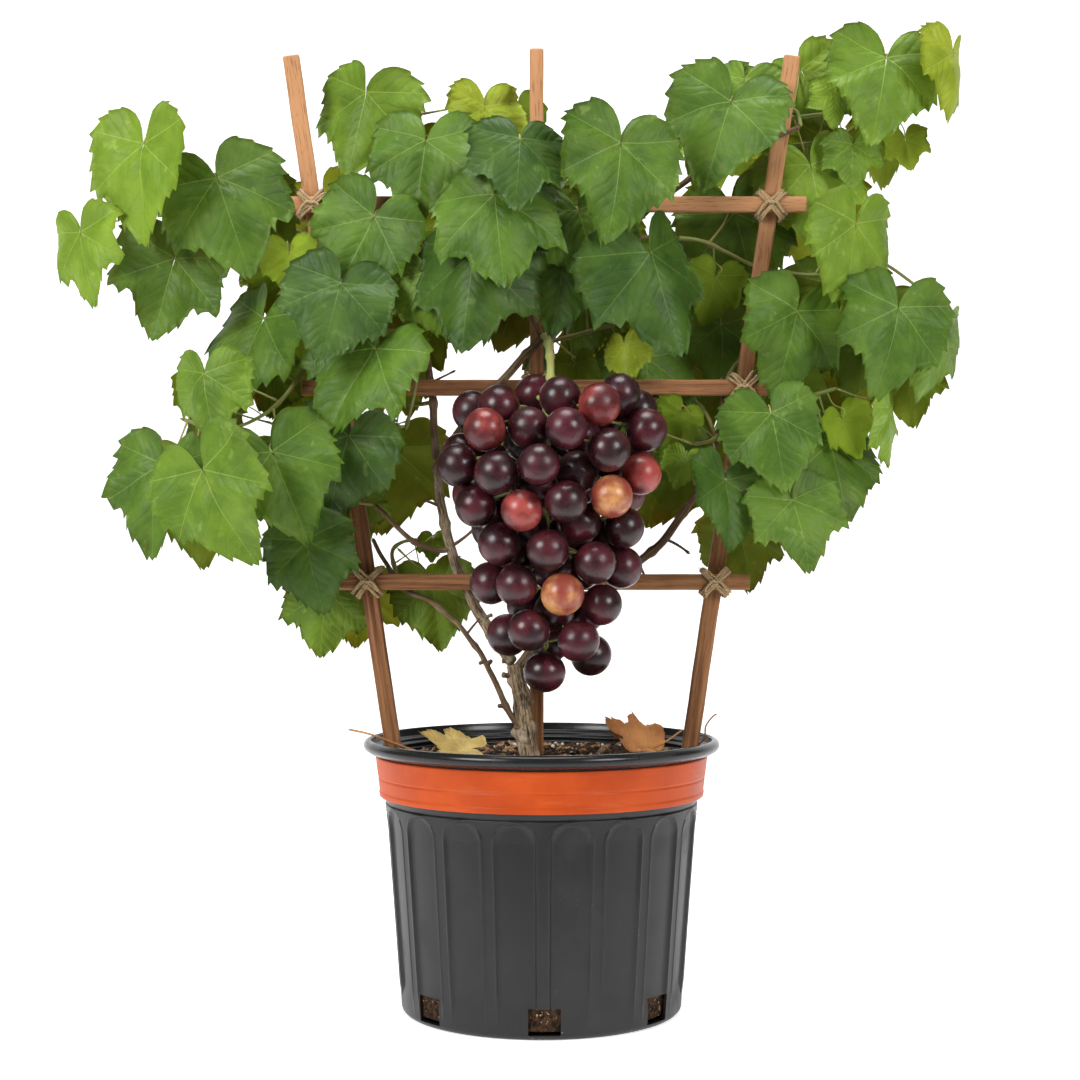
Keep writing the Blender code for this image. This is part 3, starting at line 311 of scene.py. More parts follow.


# %% [markdown]
# ## Materials one by one
# Each finish below is a Principled shader with a few texture nodes in front of it. This helper keeps
# such a graph short to write: a value that is the same all over goes on the shader's own socket, and
# only what changes over the surface is linked.


# %% Build a finish
class Finish:
    """A material and the nodes in front of its shader."""

    def __init__(self, name, **sockets):
        self.material = bpy.data.materials.new(name)
        self.material.use_nodes = True
        self.tree = self.material.node_tree
        self.shader = self.tree.nodes["Principled BSDF"]
        for socket, value in sockets.items():
            self.set(self.shader.inputs[socket.replace("_", " ")], value)

    def set(self, socket, value):
        if isinstance(value, bpy.types.NodeSocket):
            self.tree.links.new(value, socket)
        elif isinstance(value, tuple) and len(value) == 3 and len(socket.default_value) == 4:
            socket.default_value = (*value, 1.0)
        else:
            socket.default_value = value

    def node(self, kind, inputs, output=0, **settings):
        made = self.tree.nodes.new("ShaderNode" + kind)
        for setting, value in settings.items():
            setattr(made, setting, value)
        for socket, value in inputs.items():
            self.set(made.inputs[socket], value)
        return made.outputs[output]

    def math(self, operation, first, second=0.0):
        return self.node("Math", {0: first, 1: second}, operation=operation)

    def times(self, first, second):
        return self.math("MULTIPLY", first, second)

    def split(self, vector):
        """The x, y and z of a vector, as three sockets."""
        return self.node("SeparateXYZ", {0: vector}).node.outputs

    def solid(self):
        """Where a point is in space."""
        return self.node("TexCoord", {}, output=3)

    def surface(self):
        """Where a point is on its own surface."""
        return self.node("UVMap", {}, uv_map="place")

    def stretched(self, vector, scale):
        return self.node("Mapping", {"Vector": vector, "Scale": scale})

    def noise(self, vector, scale, detail=3.0, roughness=0.55):
        sockets = {"Vector": vector, "Scale": scale, "Detail": detail, "Roughness": roughness}
        return self.node("TexNoise", sockets)

    def streaks(self, vector, stretch, detail=3.0, roughness=0.55):
        """Noise that is as fine along each axis as its part of `stretch` says."""
        return self.noise(self.stretched(vector, stretch), 1.0, detail, roughness)

    def cells(self, vector, scale, feature="F1"):
        return self.node("TexVoronoi", {"Vector": vector, "Scale": scale}, feature=feature)

    def spread(self, value, low, high, start=0.0, end=1.0):
        """The value taken from the range low to high smoothly to start to end."""
        sockets = {0: value, 1: low, 2: high, 3: start, 4: end}
        return self.node("MapRange", sockets, interpolation_type="SMOOTHSTEP")

    def mix(self, share, first, second):
        return self.node("Mix", {0: share, 6: first, 7: second}, output=2, data_type="RGBA")

    def wrap_round(self, tightness):
        """A tube's surface place as a point that closes on itself: cos and sin of the turn, and length."""
        place = self.node("SeparateXYZ", {0: self.surface()})
        along = place.node.outputs[1]
        turn = self.times(place, math.tau)
        sockets = {0: self.math("COSINE", turn), 1: self.math("SINE", turn),
                   2: self.times(along, tightness)}
        return self.node("CombineXYZ", sockets)

    def relief(self, height, depth, strength=1.0):
        """Bumps the shader's normal by the height, which runs from 0 to 1 over that depth in metres."""
        earlier = self.shader.inputs["Normal"].links
        sockets = {"Height": height, "Distance": depth, "Strength": strength}
        if earlier:
            sockets["Normal"] = earlier[0].from_socket
        self.set(self.shader.inputs["Normal"], self.node("Bump", sockets))

    def colour(self, value):
        self.set(self.shader.inputs["Base Color"], value)

    def roughness(self, value):
        self.set(self.shader.inputs["Roughness"], value)

    def done(self):
        print(self.material.name, "has", len(self.tree.nodes), "nodes")
        return self.material


# %% [markdown]
# ## The pot
# A nursery pot is one thin moulding of black polypropylene: a tapering wall with shallow arched panels,
# which stiffen it, a rolled rim, and slots round the foot that let water out. A lathe could turn the
# plain wall, but not the panels, so the wall is a grid of heights by angles whose radius is the turned
# profile less the panels' depth. The slots are then cut with one Boolean for each.

# %% Pot sizes
POT_HEIGHT = 0.195
RIM_RADIUS = 0.128
RIM_INNER_RADIUS = 0.124
SEAT_TOP_RADIUS = 0.1173
SEAT_BOTTOM_RADIUS = 0.1140
BAND_TOP = 0.1815
BAND_BOTTOM = 0.1545
BODY_TOP = 0.150
BODY_TOP_RADIUS = 0.112
FOOT_RADIUS = 0.1007
FOOT_ROUNDING = 0.005
WALL = 0.0022
FLOOR = 0.003
INNER_FLARE = ((0.1775, 0.1850, 0.1880, 0.1910), (0.1151, 0.1163, 0.1190, 0.1222))
PANEL_COUNT = 18
PANEL_WIDTH = 0.029
PANEL_FIRST_ANGLE = math.radians(10.6)
PANEL_TOP = 0.1478
PANEL_FOOT = 0.014
PANEL_RADIUS = 0.1105
PANEL_DEPTH = 0.0017
PANEL_RIDGE = 0.0010
PANEL_RIDGE_WIDTH = 0.0011
NOTCH_COUNT = 7
NOTCH_WIDTH = 0.022
NOTCH_BOTTOM = 0.0036
NOTCH_TOP = 0.0217
NOTCH_FIRST_ANGLE = math.radians(1.1)


def panel_relief(angle, height):
    """How far the wall stands out at a place: a sunk arched panel with a fine ridge round its edge.

    d is the distance outside the nearest arch: sqrt(x^2 + (z - z0)^2) - w above its springing z0, and
    |x| - w below. The relief is ridge exp(-(d / width)^2) less the depth where d is under 0.
    """
    spacing = math.tau / PANEL_COUNT
    x = ((angle - PANEL_FIRST_ANGLE + spacing / 2) % spacing - spacing / 2) * PANEL_RADIUS
    half = PANEL_WIDTH / 2
    springing = PANEL_TOP - half
    outside = np.where(height > springing, np.hypot(x, height - springing), np.abs(x)) - half
    sunk = 1 / (1 + np.exp(np.clip(outside / 0.00030, -30, 30)))
    fade = np.clip((height - PANEL_FOOT) / 0.008, 0, 1)
    return fade * (PANEL_RIDGE * np.exp(-(outside / PANEL_RIDGE_WIDTH) ** 2) - PANEL_DEPTH * sunk)


def panel_columns():
    """The angles of the wall's columns: close together at the panels' edges, further apart between."""
    edge = math.degrees(PANEL_WIDTH / 2 / PANEL_RADIUS)
    spacing = 360 / PANEL_COUNT
    close = np.linspace(-0.75, 0.85, 11)
    one = np.concatenate([np.linspace(1 - edge, edge - 1, 12), edge + close, [edge + 1.3, spacing / 2],
                          spacing - edge - 1.3 + np.zeros(1), (spacing - edge - close)[::-1]])
    return (PANEL_FIRST_ANGLE + np.radians(one + spacing * np.arange(PANEL_COUNT)[:, None])).ravel()


def arc(centre, radius, start, end, count):
    """Points of an arc in the profile plane, between two angles in degrees."""
    angle = np.radians(np.linspace(start, end, count))
    return np.column_stack([centre[0] + radius * np.cos(angle), centre[1] + radius * np.sin(angle)])


# %% Pot profile and wall
def pot_profile():
    """The pot's section, radius and height, down the outside and up the inside to where it began."""
    body = np.linspace(1, 0, 15)[:, None]
    top = np.array([BODY_TOP_RADIUS, BODY_TOP - 0.0018])
    arch_foot = np.array([BODY_TOP_RADIUS - 0.0018, PANEL_TOP - PANEL_WIDTH / 2])
    foot = np.array([FOOT_RADIUS, FOOT_ROUNDING])
    arches = top + (arch_foot - top) * np.linspace(0, 1, 36)[:, None]
    straight = foot + (arch_foot - foot) * body[1:]
    inner_foot = FOOT_RADIUS - WALL
    heights = np.linspace(FLOOR + 0.004, BODY_TOP, 12)
    radii = inner_foot + (BODY_TOP_RADIUS - WALL - inner_foot) * (heights - FLOOR) / (BODY_TOP - FLOOR)
    inner_wall = np.column_stack([radii, heights])
    rings = np.linspace(BAND_TOP - 0.004, POT_HEIGHT - 0.004, 26)
    ring_radii = np.interp(rings, *INNER_FLARE)
    ring_radii += 0.00065 * np.sin((rings - BAND_TOP) * math.tau / 0.0036)
    return np.vstack([
        arc((RIM_RADIUS - 0.0042, POT_HEIGHT - 0.0042), 0.0042, 100, -62, 16),
        [(RIM_RADIUS - 0.0040, POT_HEIGHT - 0.0090), (SEAT_TOP_RADIUS + 0.0012, POT_HEIGHT - 0.0105)],
        [(SEAT_TOP_RADIUS, BAND_TOP), (SEAT_BOTTOM_RADIUS, BAND_BOTTOM)],
        arc((BODY_TOP_RADIUS - 0.001, BODY_TOP - 0.0015), 0.0012, 80, 5, 5),
        arches, straight,
        arc((FOOT_RADIUS - FOOT_ROUNDING, FOOT_ROUNDING), FOOT_ROUNDING, -12, -90, 7),
        [(0.0, 0.0), (0.0, FLOOR), (inner_foot - 0.004, FLOOR)],
        inner_wall,
        [(SEAT_BOTTOM_RADIUS - WALL, BAND_BOTTOM)],
        np.column_stack([ring_radii, rings]),
        arc((RIM_INNER_RADIUS + 0.0003, POT_HEIGHT - 0.0015), 0.0016, 200, 110, 5),
    ])


def turned_grid(shape, profile, angle, relief=None):
    """A profile turned round Z: (r sin a, -r cos a, z), closed both round the axis and along the profile."""
    radius, height = profile[:, :1], profile[:, 1:]
    if relief is not None:
        radius = radius + relief(angle[None, :], radius, height) * (radius > 0.01)
    points = stacked(radius * np.sin(angle), -radius * np.cos(angle), height)
    rows, columns = len(profile), len(angle)
    faces, corners = grid(rows + 1, columns, wrap=True)
    faces = faces[:, ::-1] % (rows * columns)
    shape.add(points, faces, corners[:, ::-1] / (columns, rows))


def pot_relief(angle, radius, height):
    """Panels on the outside of the body only."""
    outer = (radius > FOOT_RADIUS + (BODY_TOP_RADIUS - FOOT_RADIUS) * height / BODY_TOP - 0.0012)
    on_body = outer & (height < BODY_TOP - 0.001) & (height > 0.004)
    return np.where(on_body, panel_relief(angle, height), 0.0)


# %% [markdown]
# ### Black plastic
# Recycled polypropylene is a dull black with a faint upright drag from the mould, and it gathers dust
# and splashes of soil, most near the foot. The grain is a fine noise drawn out upwards, the dust is a
# coarser one, and the specks are small cells that only some of pass a threshold.

# %% Black plastic
def black_plastic_finish():
    """Dull black with drag marks and dust, splashes of soil near the foot and a rubbed rim."""
    pot = Finish("black_plastic_moulded", Roughness=0.42, Specular_IOR_Level=0.33)
    where = pot.solid()
    height = pot.split(where)[2]
    drag = pot.streaks(where, (260.0, 260.0, 14.0), 2.0)
    dust = pot.spread(pot.noise(where, 26.0, 5.0), 0.46, 0.72)
    low = pot.spread(height, 0.09, 0.0)
    some = pot.spread(pot.noise(where, 34.0, 2.0), 0.60, 0.68)
    speck = pot.times(pot.spread(pot.cells(where, 210.0), 0.17, 0.08), some)
    speck = pot.times(speck, pot.math("ADD", low, 0.12))
    base = pot.mix(pot.times(dust, 0.55), (0.0090, 0.0090, 0.0094), (0.026, 0.025, 0.024))
    base = pot.mix(pot.times(drag, 0.25), base, (0.020, 0.020, 0.021))
    pot.colour(pot.mix(speck, base, (0.30, 0.20, 0.12)))
    wiped = pot.spread(height, 0.170, 0.182, 0.0, 0.16)
    pot.roughness(pot.math("SUBTRACT", pot.spread(dust, 0.0, 1.0, 0.38, 0.54), wiped))
    pot.relief(drag, 0.00008, 0.6)
    pot.relief(speck, 0.0003, 0.6)
    return pot.done()


black_plastic = black_plastic_finish()


# %% Make the pot
def notch_box(index):
    """One drainage slot's cutter: a block through the wall at its angle."""
    angle = NOTCH_FIRST_ANGLE + index * math.tau / NOTCH_COUNT
    corners = np.array([(x, y, z) for x in (-1, 1) for y in (-1, 1) for z in (-1, 1)], float)
    half = np.array([NOTCH_WIDTH / 2, 0.008, (NOTCH_TOP - NOTCH_BOTTOM) / 2])
    local = corners * half + (0.0, -FOOT_RADIUS, (NOTCH_TOP + NOTCH_BOTTOM) / 2)
    c, s = math.cos(angle), math.sin(angle)
    turn = np.array([[c, -s, 0], [s, c, 0], [0, 0, 1]])
    mesh = bpy.data.meshes.new(f"notch_{index}")
    sides = [(0, 1, 3, 2), (4, 6, 7, 5), (0, 4, 5, 1), (2, 3, 7, 6), (0, 2, 6, 4), (1, 5, 7, 3)]
    mesh.from_pydata((local @ turn.T).tolist(), [], sides)
    return into_scene(mesh.name, mesh)


def apply_modifiers(obj):
    """Gives the object the mesh that its modifiers make."""
    bpy.context.view_layer.update()
    made = bpy.data.meshes.new_from_object(obj.evaluated_get(bpy.context.evaluated_depsgraph_get()))
    obj.modifiers.clear()
    obj.data = made


def cut_and_apply(obj, cutters):
    """Cuts every cutter from the object, applies the cuts and removes the cutters."""
    for cutter in cutters:
        modifier = obj.modifiers.new(cutter.name, "BOOLEAN")
        modifier.operation = "DIFFERENCE"
        modifier.solver = "MANIFOLD"
        modifier.object = cutter
    apply_modifiers(obj)
    for cutter in cutters:
        bpy.data.objects.remove(cutter)


def weld(obj, sharp_angle):
    """Merges points that coincide, drops what collapsed, and keeps only real edges sharp."""
    modifier = obj.modifiers.new("weld", "WELD")
    modifier.merge_threshold = 0.00001
    apply_modifiers(obj)
    obj.data.shade_smooth()
    obj.data.set_sharp_from_angle(angle=math.radians(sharp_angle))


pot_shape = Shape()
turned_grid(pot_shape, pot_profile(), panel_columns(), pot_relief)
pot = pot_shape.piece("pot_moulding", [black_plastic], ["pot"], "black_plastic")
weld(pot, 180)
cut_and_apply(pot, [notch_box(index) for index in range(NOTCH_COUNT)])
pot.data.set_sharp_from_angle(angle=math.radians(50))
print("pot has", len(pot.data.polygons), "faces after its slots")

# %% [markdown]
# ## The coloured band
# The band is a softer terracotta coloured strip, moulded on below the rim, with a groove round its
# middle and a lip at its lower edge. It is a closed section turned on the same axis.

# %% Terracotta plastic
BAND_THICKNESS = 0.0022
BAND_EDGE = 0.1838
BAND_TOP_RADIUS = 0.1198
BAND_BOTTOM_RADIUS = 0.1165


def band_plastic_finish():
    """Two close oranges that drift into each other, with level scuffs."""
    band = Finish("orange_plastic_moulded", Roughness=0.42, Specular_IOR_Level=0.20)
    where = band.solid()
    drift = band.noise(where, 18.0, 4.0)
    scuff = band.spread(band.streaks(where, (30.0, 30.0, 240.0), 4.0), 0.56, 0.78)
    base = band.mix(band.spread(drift, 0.35, 0.65), (0.400, 0.048, 0.004), (0.505, 0.069, 0.007))
    band.colour(band.mix(band.times(scuff, 0.22), base, (0.61, 0.165, 0.050)))
    band.roughness(band.spread(drift, 0.3, 0.7, 0.36, 0.50))
    band.relief(scuff, 0.00006, 0.5)
    return band.done()


orange_plastic = band_plastic_finish()


# %% Make the band
GROOVE_HEIGHT = 0.1685
GROOVE_DEPTH = 0.0006
LIP_TOP = 0.1585
LIP_DEPTH = 0.0005


def band_profile():
    """The band's section: outside down with its groove and lip, inside up."""
    height = np.linspace(BAND_EDGE - 0.0008, BAND_BOTTOM + 0.0006, 48)
    slope = (BAND_TOP_RADIUS - BAND_BOTTOM_RADIUS) / (BAND_TOP - BAND_BOTTOM)
    radius = BAND_BOTTOM_RADIUS + (height - BAND_BOTTOM) * slope
    radius = radius - GROOVE_DEPTH * np.exp(-((height - GROOVE_HEIGHT) / 0.0006) ** 2)
    radius = radius - LIP_DEPTH / (1 + np.exp((LIP_TOP - height) / 0.0002))
    outside = np.column_stack([radius, height])
    return np.vstack([
        [(BAND_TOP_RADIUS - 0.0010, BAND_EDGE)],
        outside,
        [(BAND_BOTTOM_RADIUS - 0.0006, BAND_BOTTOM)],
        [(BAND_BOTTOM_RADIUS - BAND_THICKNESS, BAND_BOTTOM)],
        [(BAND_TOP_RADIUS - BAND_THICKNESS, BAND_EDGE)],
    ])


band_shape = Shape()
turned_grid(band_shape, band_profile(), turns(240))
band_shape.piece("band_moulding", [orange_plastic], ["pot_band"], "orange_plastic", sharp=50)

# %% [markdown]
# ## The trellis
# The trellis is sawn slats of a reddish hardwood. A slat is a rounded rectangle carried along a
# straight line, with the saw's slight waver, and its grain is a noise drawn out along the slat, which
# the surface's own places follow on a leaning post too.

# %% Stained wood
def wood_finish():
    """Grain and pores along the slat, patches of stain, and painted light: the wood paler higher up."""
    wood = Finish("stained_wood_sawn", Roughness=0.62, Specular_IOR_Level=0.22)
    place = wood.surface()
    grain = wood.streaks(place, (420.0, 9.0, 1.0), 5.0, 0.62)
    pores = wood.spread(wood.streaks(place, (1500.0, 60.0, 1.0), 2.0), 0.56, 0.66)
    patch = wood.noise(wood.solid(), 9.0, 3.0)
    # Painted light: the slats turn paler towards the top, where the light falls on them.
    painted_light_high = wood.times(wood.spread(wood.split(wood.solid())[2], 0.40, 0.66), 0.66)
    base = wood.mix(wood.spread(grain, 0.32, 0.68), (0.125, 0.048, 0.018), (0.345, 0.155, 0.064))
    base = wood.mix(painted_light_high, base, (0.680, 0.345, 0.158))
    base = wood.mix(wood.spread(patch, 0.42, 0.72, 0.0, 0.40), base, (0.44, 0.215, 0.090))
    wood.colour(wood.mix(wood.times(pores, 0.52), base, (0.090, 0.032, 0.014)))
    wood.roughness(wood.spread(grain, 0.3, 0.7, 0.70, 0.52))
    wood.relief(grain, 0.0004, 0.7)
    wood.relief(pores, 0.0003, -0.5)
    return wood.done()


stained_wood = wood_finish()


# %% Slat sizes
POST_WIDTH = 0.012
POST_DEPTH = 0.006
POST_LEAN = math.radians(8.44)
POST_FOOT = 0.100
POST_TOP = 0.688
POST_OFFSET_AT_SOIL = 0.106
UPRIGHT_WIDTH = 0.010
UPRIGHT_TOP = 0.693
UPRIGHT_OFFSET = -0.0035
RAIL_HEIGHT = 0.0115
RAIL_DEPTH = 0.006
RAIL_MIDDLE = -0.001
RAILS = {"top": (0.5795, 0.192), "middle": (0.4474, 0.172), "bottom": (0.3074, 0.151)}
SOIL_TOP = 0.179
SOIL_MOUND = 0.0012
GAP = 0.0003


def post_centre(side, height):
    """The middle of the left (-1) or right (1) post at that height."""
    return side * (POST_OFFSET_AT_SOIL + (height - SOIL_TOP) * math.tan(POST_LEAN))


def rounded_section(width, depth, corner, across):
    """A rounded rectangle: at angle a, the point where |x / w|^p + |y / d|^p = 1, with p from the corner."""
    angle = (np.arange(across) + 0.5) * math.tau / across
    power = 2 * max(width, depth) / corner / 8
    c, s = np.cos(angle), np.sin(angle)
    scale = (np.abs(c) ** power + np.abs(s) ** power) ** (-1 / power)
    return np.column_stack([c * scale * width / 2, s * scale * depth / 2])


def add_slat(shape, start, end, width, depth, rng):
    """A slat from start to end, `width` across in the XZ plane and `depth` along Y, with eased ends."""
    start, end = np.asarray(start, float), np.asarray(end, float)
    length = np.linalg.norm(end - start)
    way = (end - start) / length
    wide = np.cross(way, (0.0, -1.0, 0.0))
    ease = 0.0007
    inner = np.linspace(ease * 2, length - ease * 2, 60)
    stations = np.concatenate([[0.0, ease * 0.5, ease], inner, [length - ease, length - ease * 0.5, length]])
    shrink = np.interp(stations, [0, ease, length - ease, length], [ease, 0, 0, ease])
    across = 40
    section = rounded_section(width, depth, 0.0006, across)
    waver = 0.00012 * waves(rng, stations[:, None] * (1.0, 0.0, 0.0), 0.05)
    scale_x = 1 - 2 * shrink / width
    scale_y = 1 - 2 * shrink / depth
    centre = start + way * stations[:, None] + wide * waver[:, None]
    points = (centre[:, None] + wide * (section[:, 0] * scale_x[:, None])[..., None]
              + np.array([0.0, 1.0, 0.0]) * (section[:, 1] * scale_y[:, None])[..., None])
    around = np.linalg.norm(section - np.roll(section, 1, axis=0), axis=1).sum()
    add_skin(shape, points, centre[[0, -1]], around, stations + rng.uniform(0, 5))


# %% Make the slats
slats = {
    "trellis_post_left": ((post_centre(-1, POST_FOOT), POST_DEPTH / 2, POST_FOOT),
                          (post_centre(-1, POST_TOP), POST_DEPTH / 2, POST_TOP), POST_WIDTH),
    "trellis_post_right": ((post_centre(1, POST_FOOT), POST_DEPTH / 2, POST_FOOT),
                           (post_centre(1, POST_TOP), POST_DEPTH / 2, POST_TOP), POST_WIDTH),
    "trellis_post_centre": ((UPRIGHT_OFFSET, POST_DEPTH / 2, POST_FOOT),
                            (UPRIGHT_OFFSET, POST_DEPTH / 2, UPRIGHT_TOP), UPRIGHT_WIDTH),
}
for _name, (_level, _half) in RAILS.items():
    _front = -GAP - RAIL_DEPTH / 2
    slats[f"trellis_rail_{_name}"] = ((RAIL_MIDDLE - _half, _front, _level),
                                      (RAIL_MIDDLE + _half, _front, _level), RAIL_HEIGHT)
for _index, (_node, (_start, _end, _width)) in enumerate(slats.items()):
    _shape = Shape()
    add_slat(_shape, _start, _end, _width, POST_DEPTH, np.random.default_rng(40 + _index))
    _shape.piece(_node.replace("trellis_", "slat_"), [stained_wood], [_node], "stained_wood", sharp=60)

# %% [markdown]
# ## Jute lashings
# Each joint of the trellis is bound with jute twine, three turns one way and as many the other,
# so that they cross in front. Twine is three plies laid round each other, so a turn is a rounded
# loop round the two slats, and each ply winds round that loop. Short loose fibres stand off it.

# %% Jute
def jute_finish():
    """Pale and dark fibres that run with the ply."""
    jute = Finish("jute_fibre", Roughness=0.92, Specular_IOR_Level=0.2, Sheen_Weight=0.25)
    fibre = jute.streaks(jute.wrap_round(260.0), (3.0, 3.0, 1.0), 4.0)
    jute.colour(jute.mix(jute.spread(fibre, 0.3, 0.7), (0.250, 0.145, 0.062), (0.640, 0.470, 0.250)))
    jute.relief(fibre, 0.0003, 0.8)
    return jute.done()


jute_twine = jute_finish()


# %% Make the lashings
TWINE_PLY = 0.00062
TWINE_LAY = 0.0060
LASHING_REACH = 0.0128
LASHING_TURNS = 3
LASHING_SPACING = 0.0019


def lashing_loop(centre, lean, offset, rng):
    """A closed loop round both slats: S sign(c) |c|^0.45 and the same of s for depth, in a leaning plane."""
    front = -GAP - RAIL_DEPTH - 0.0012
    back = POST_DEPTH + 0.0012
    angle = np.linspace(0, math.tau, 72, endpoint=False)
    c, s = np.cos(angle), np.sin(angle)
    along = LASHING_REACH * np.sign(c) * np.abs(c) ** 0.45
    deep = (front + back) / 2 + (back - front) / 2 * np.sign(s) * np.abs(s) ** 0.45
    way = np.array([math.cos(lean), 0.0, math.sin(lean)])
    across = np.array([-math.sin(lean), 0.0, math.cos(lean)])
    waver = offset + 0.0004 * np.sin(angle * 2 + rng.uniform(0, 6))
    place = np.array([centre[0], 0.0, centre[1]])
    return place + way * along[:, None] + across * waver[:, None] + np.array([0.0, 1.0, 0.0]) * deep[:, None]


def add_twine(shape, path, rng, closed):
    """Three plies wound round the path: path + 0.95 ply (cos f side + sin f up), f = 2 pi length / lay."""
    _, side, up = frames_along(path)
    length = distances(path)
    whole = length[-1] + (np.linalg.norm(path[0] - path[-1]) if closed else 0.0)
    turns = max(1, round(whole / TWINE_LAY))
    for ply in range(3):
        turn = math.tau * (turns * length / whole + ply / 3)
        strand = path + TWINE_PLY * 0.95 * around_axis(turn, side, up)
        add_tube(shape, strand, TWINE_PLY * rng.uniform(0.9, 1.1), 5, closed=closed)


def add_fibres(shape, path, count, rng):
    """Loose fibres: short threads that leave the twine and bend, p + d t + c t^2."""
    for spot in rng.integers(0, len(path), count):
        way = unit(rng.normal(size=3))
        bend = unit(rng.normal(size=3)) * rng.uniform(0.2, 0.9)
        t = np.linspace(0, 1, 5)[:, None]
        reach = rng.uniform(0.002, 0.0055)
        thread = path[spot] + (way * t + bend * t ** 2) * reach
        add_tube(shape, thread, np.linspace(0.00013, 0.00005, 5), 3)


def make_lashing(name, centre, seed):
    """The two sets of crossed turns, the two short free ends of the knot, and the loose fibres."""
    rng = np.random.default_rng(seed)
    shape = Shape()
    for lean in (math.radians(45), math.radians(-45)):
        for turn in range(LASHING_TURNS):
            offset = (turn - (LASHING_TURNS - 1) / 2) * LASHING_SPACING
            loop = lashing_loop(centre, lean + rng.uniform(-0.11, 0.11), offset, rng)
            add_twine(shape, loop, rng, closed=True)
            add_fibres(shape, loop, 30, rng)
    knot = np.array([centre[0], -GAP - RAIL_DEPTH - 0.0030, centre[1]])
    for side in (-1, 1):
        tail = knot + np.array([[0, 0, 0], [0.003 * side, -0.0006, 0.001], [0.007 * side, 0.0004, -0.003],
                                [0.010 * side, 0.0016, -0.008]]) * rng.uniform(0.8, 1.1)
        path = smooth_route(tail, 0.0012)
        add_twine(shape, path, rng, closed=False)
        add_fibres(shape, path[-3:], 9, rng)
    return shape.piece(name.replace("lashing", "twine"), [jute_twine], [name], "jute_twine")


_joints = [(x, level) for level, _ in RAILS.values()
           for x in (post_centre(-1, level), UPRIGHT_OFFSET, post_centre(1, level))]
for _index, _joint in enumerate(_joints):
    make_lashing(f"lashing_{_index + 1}", _joint, 60 + _index)

# %% [markdown]
# ## Trunk and canes
# The trunk and the canes are the vine's old wood. Each is a tapering tube along a bent path, swollen
# at its nodes every few centimetres, with bark that splits lengthways into strips. The relief is a sum
# of waves with a whole number of lobes round the stem, so that it closes, which are long along the stem
# and short across it. Thick old wood has deep relief and knots, a young cane hardly any.

# %% Where the limbs run
TRUNK_FLARE = 1.22
TRUNK_FLARE_HEIGHT = 0.014


def limb(radii, step, *route):
    """A limb from its radii at both ends, the spacing of its solid's stations and its route, all in mm."""
    return dict(radii=np.array(radii) / 1000, step=step / 1000, route=np.array(route) / 1000)


LIMBS = {
    "trunk": limb((7.4, 6.4), 10,
        (-8, -16, (SOIL_TOP + SOIL_MOUND + GAP) * 1000), (-9.5, -16, 191), (-12, -16, 207),
        (-15, -17, 228), (-19.5, -18, 249)),
    "left_cane": limb((5, 3.4), 16,
        (-20.2, -18, 249.4), (-34, -10, 269), (-46, 1, 285), (-53, 6.2, 299), (-63, 6.5, 323),
        (-73, 5.5, 363), (-76, 5, 394)),
    "right_cane": limb((4, 2.8), 18,
        (-18, -18, 245), (-4, -14, 262), (13, -7.5, 277), (30, 4, 293), (44, 6.2, 303), (84, 6, 333),
        (109, 6, 367), (122, 5, 392)),
    "low_left_cane": limb((2.8, 1.9), 18,
        (-13, -16, 201), (-21.5, -18, 212), (-31, -17, 231), (-40, -12, 250), (-56, -1, 272),
        (-76, 6, 290), (-100, 7, 303), (-114, 9.5, 322), (-123, 10.5, 339)),
    "left_upper_cane": limb((3.1, 2.1), 16,
        (-76.1, 5, 394.6), (-79, 5, 439), (-85, 5, 490), (-89, 4, 537)),
    "arm_lower": limb((3.3, 2.7), 18,
        (-75.5, 5, 388), (-68, -3, 404), (-36, -11.5, 442), (-3, -11.5, 479), (22, -8, 510), (40, -5, 532)),
    "arm_upper": limb((2.6, 1.8), 14,
        (40.3, -4.9, 532.4), (56, 0.5, 553), (69, 4, 569), (100, 4, 594), (143, -3, 617), (186, -6, 635)),
    "right_upper_cane": limb((2.5, 1.8), 12,
        (122.2, 5.1, 392.6), (128, 9.5, 414), (131, 10.5, 432), (131, 9, 456)),
    "left_twig": limb((2.2, 1.6), 14,
        (-65.5, 6.5, 331), (-78, 4, 331), (-94, -1, 337), (-109, -6, 352), (-120, -8, 363)),
    "left_arm": limb((2, 1.6), 14,
        (-81.5, 5, 461), (-92, -3, 467), (-113, -8, 475), (-141, -10, 483), (-160, -9, 487)),
    "centre_twig": limb((2, 1.6), 12,
        (0, -11.5, 482.5), (-8, -12.5, 496), (-14, -13, 507), (-20, -12, 518)),
}

# %% [markdown]
# ### Bark
# Grape bark is grey brown strips over darker seams. The colour follows a noise that closes round the stem and
# is drawn out along it, and a pale grey lies over it in patches.

# %% Bark finish
def bark_finish(name, dark, light, grey, tightness, broken):
    """Strips: a noise in (cos, sin, length) of the stem's own surface, shorter the more broken they are."""
    bark = Finish(name, Roughness=0.88, Specular_IOR_Level=0.22)
    around = bark.wrap_round(tightness)
    strip = bark.streaks(around, (4.2, 4.2, broken), 6.0, 0.65)
    fleck = bark.streaks(around, (7.0, 7.0, broken * 4), 3.0)
    patch = bark.noise(bark.solid(), 70.0, 3.0)
    base = bark.mix(bark.spread(strip, 0.36, 0.62), dark, light)
    base = bark.mix(bark.spread(patch, 0.45, 0.75, 0.0, 0.55), base, grey)
    bark.colour(bark.mix(bark.spread(fleck, 0.54, 0.64, 0.0, 0.75), base, dark))
    bark.relief(strip, 0.0009, 0.9)
    bark.relief(fleck, 0.0002, 0.5)
    return bark.done()


old_bark = bark_finish("bark_old", (0.040, 0.024, 0.013), (0.385, 0.280, 0.170),
                       (0.640, 0.520, 0.380), 120.0, 0.60)
cane_bark = bark_finish("bark_cane", (0.060, 0.033, 0.018), (0.275, 0.174, 0.095),
                        (0.375, 0.285, 0.190), 90.0, 0.25)

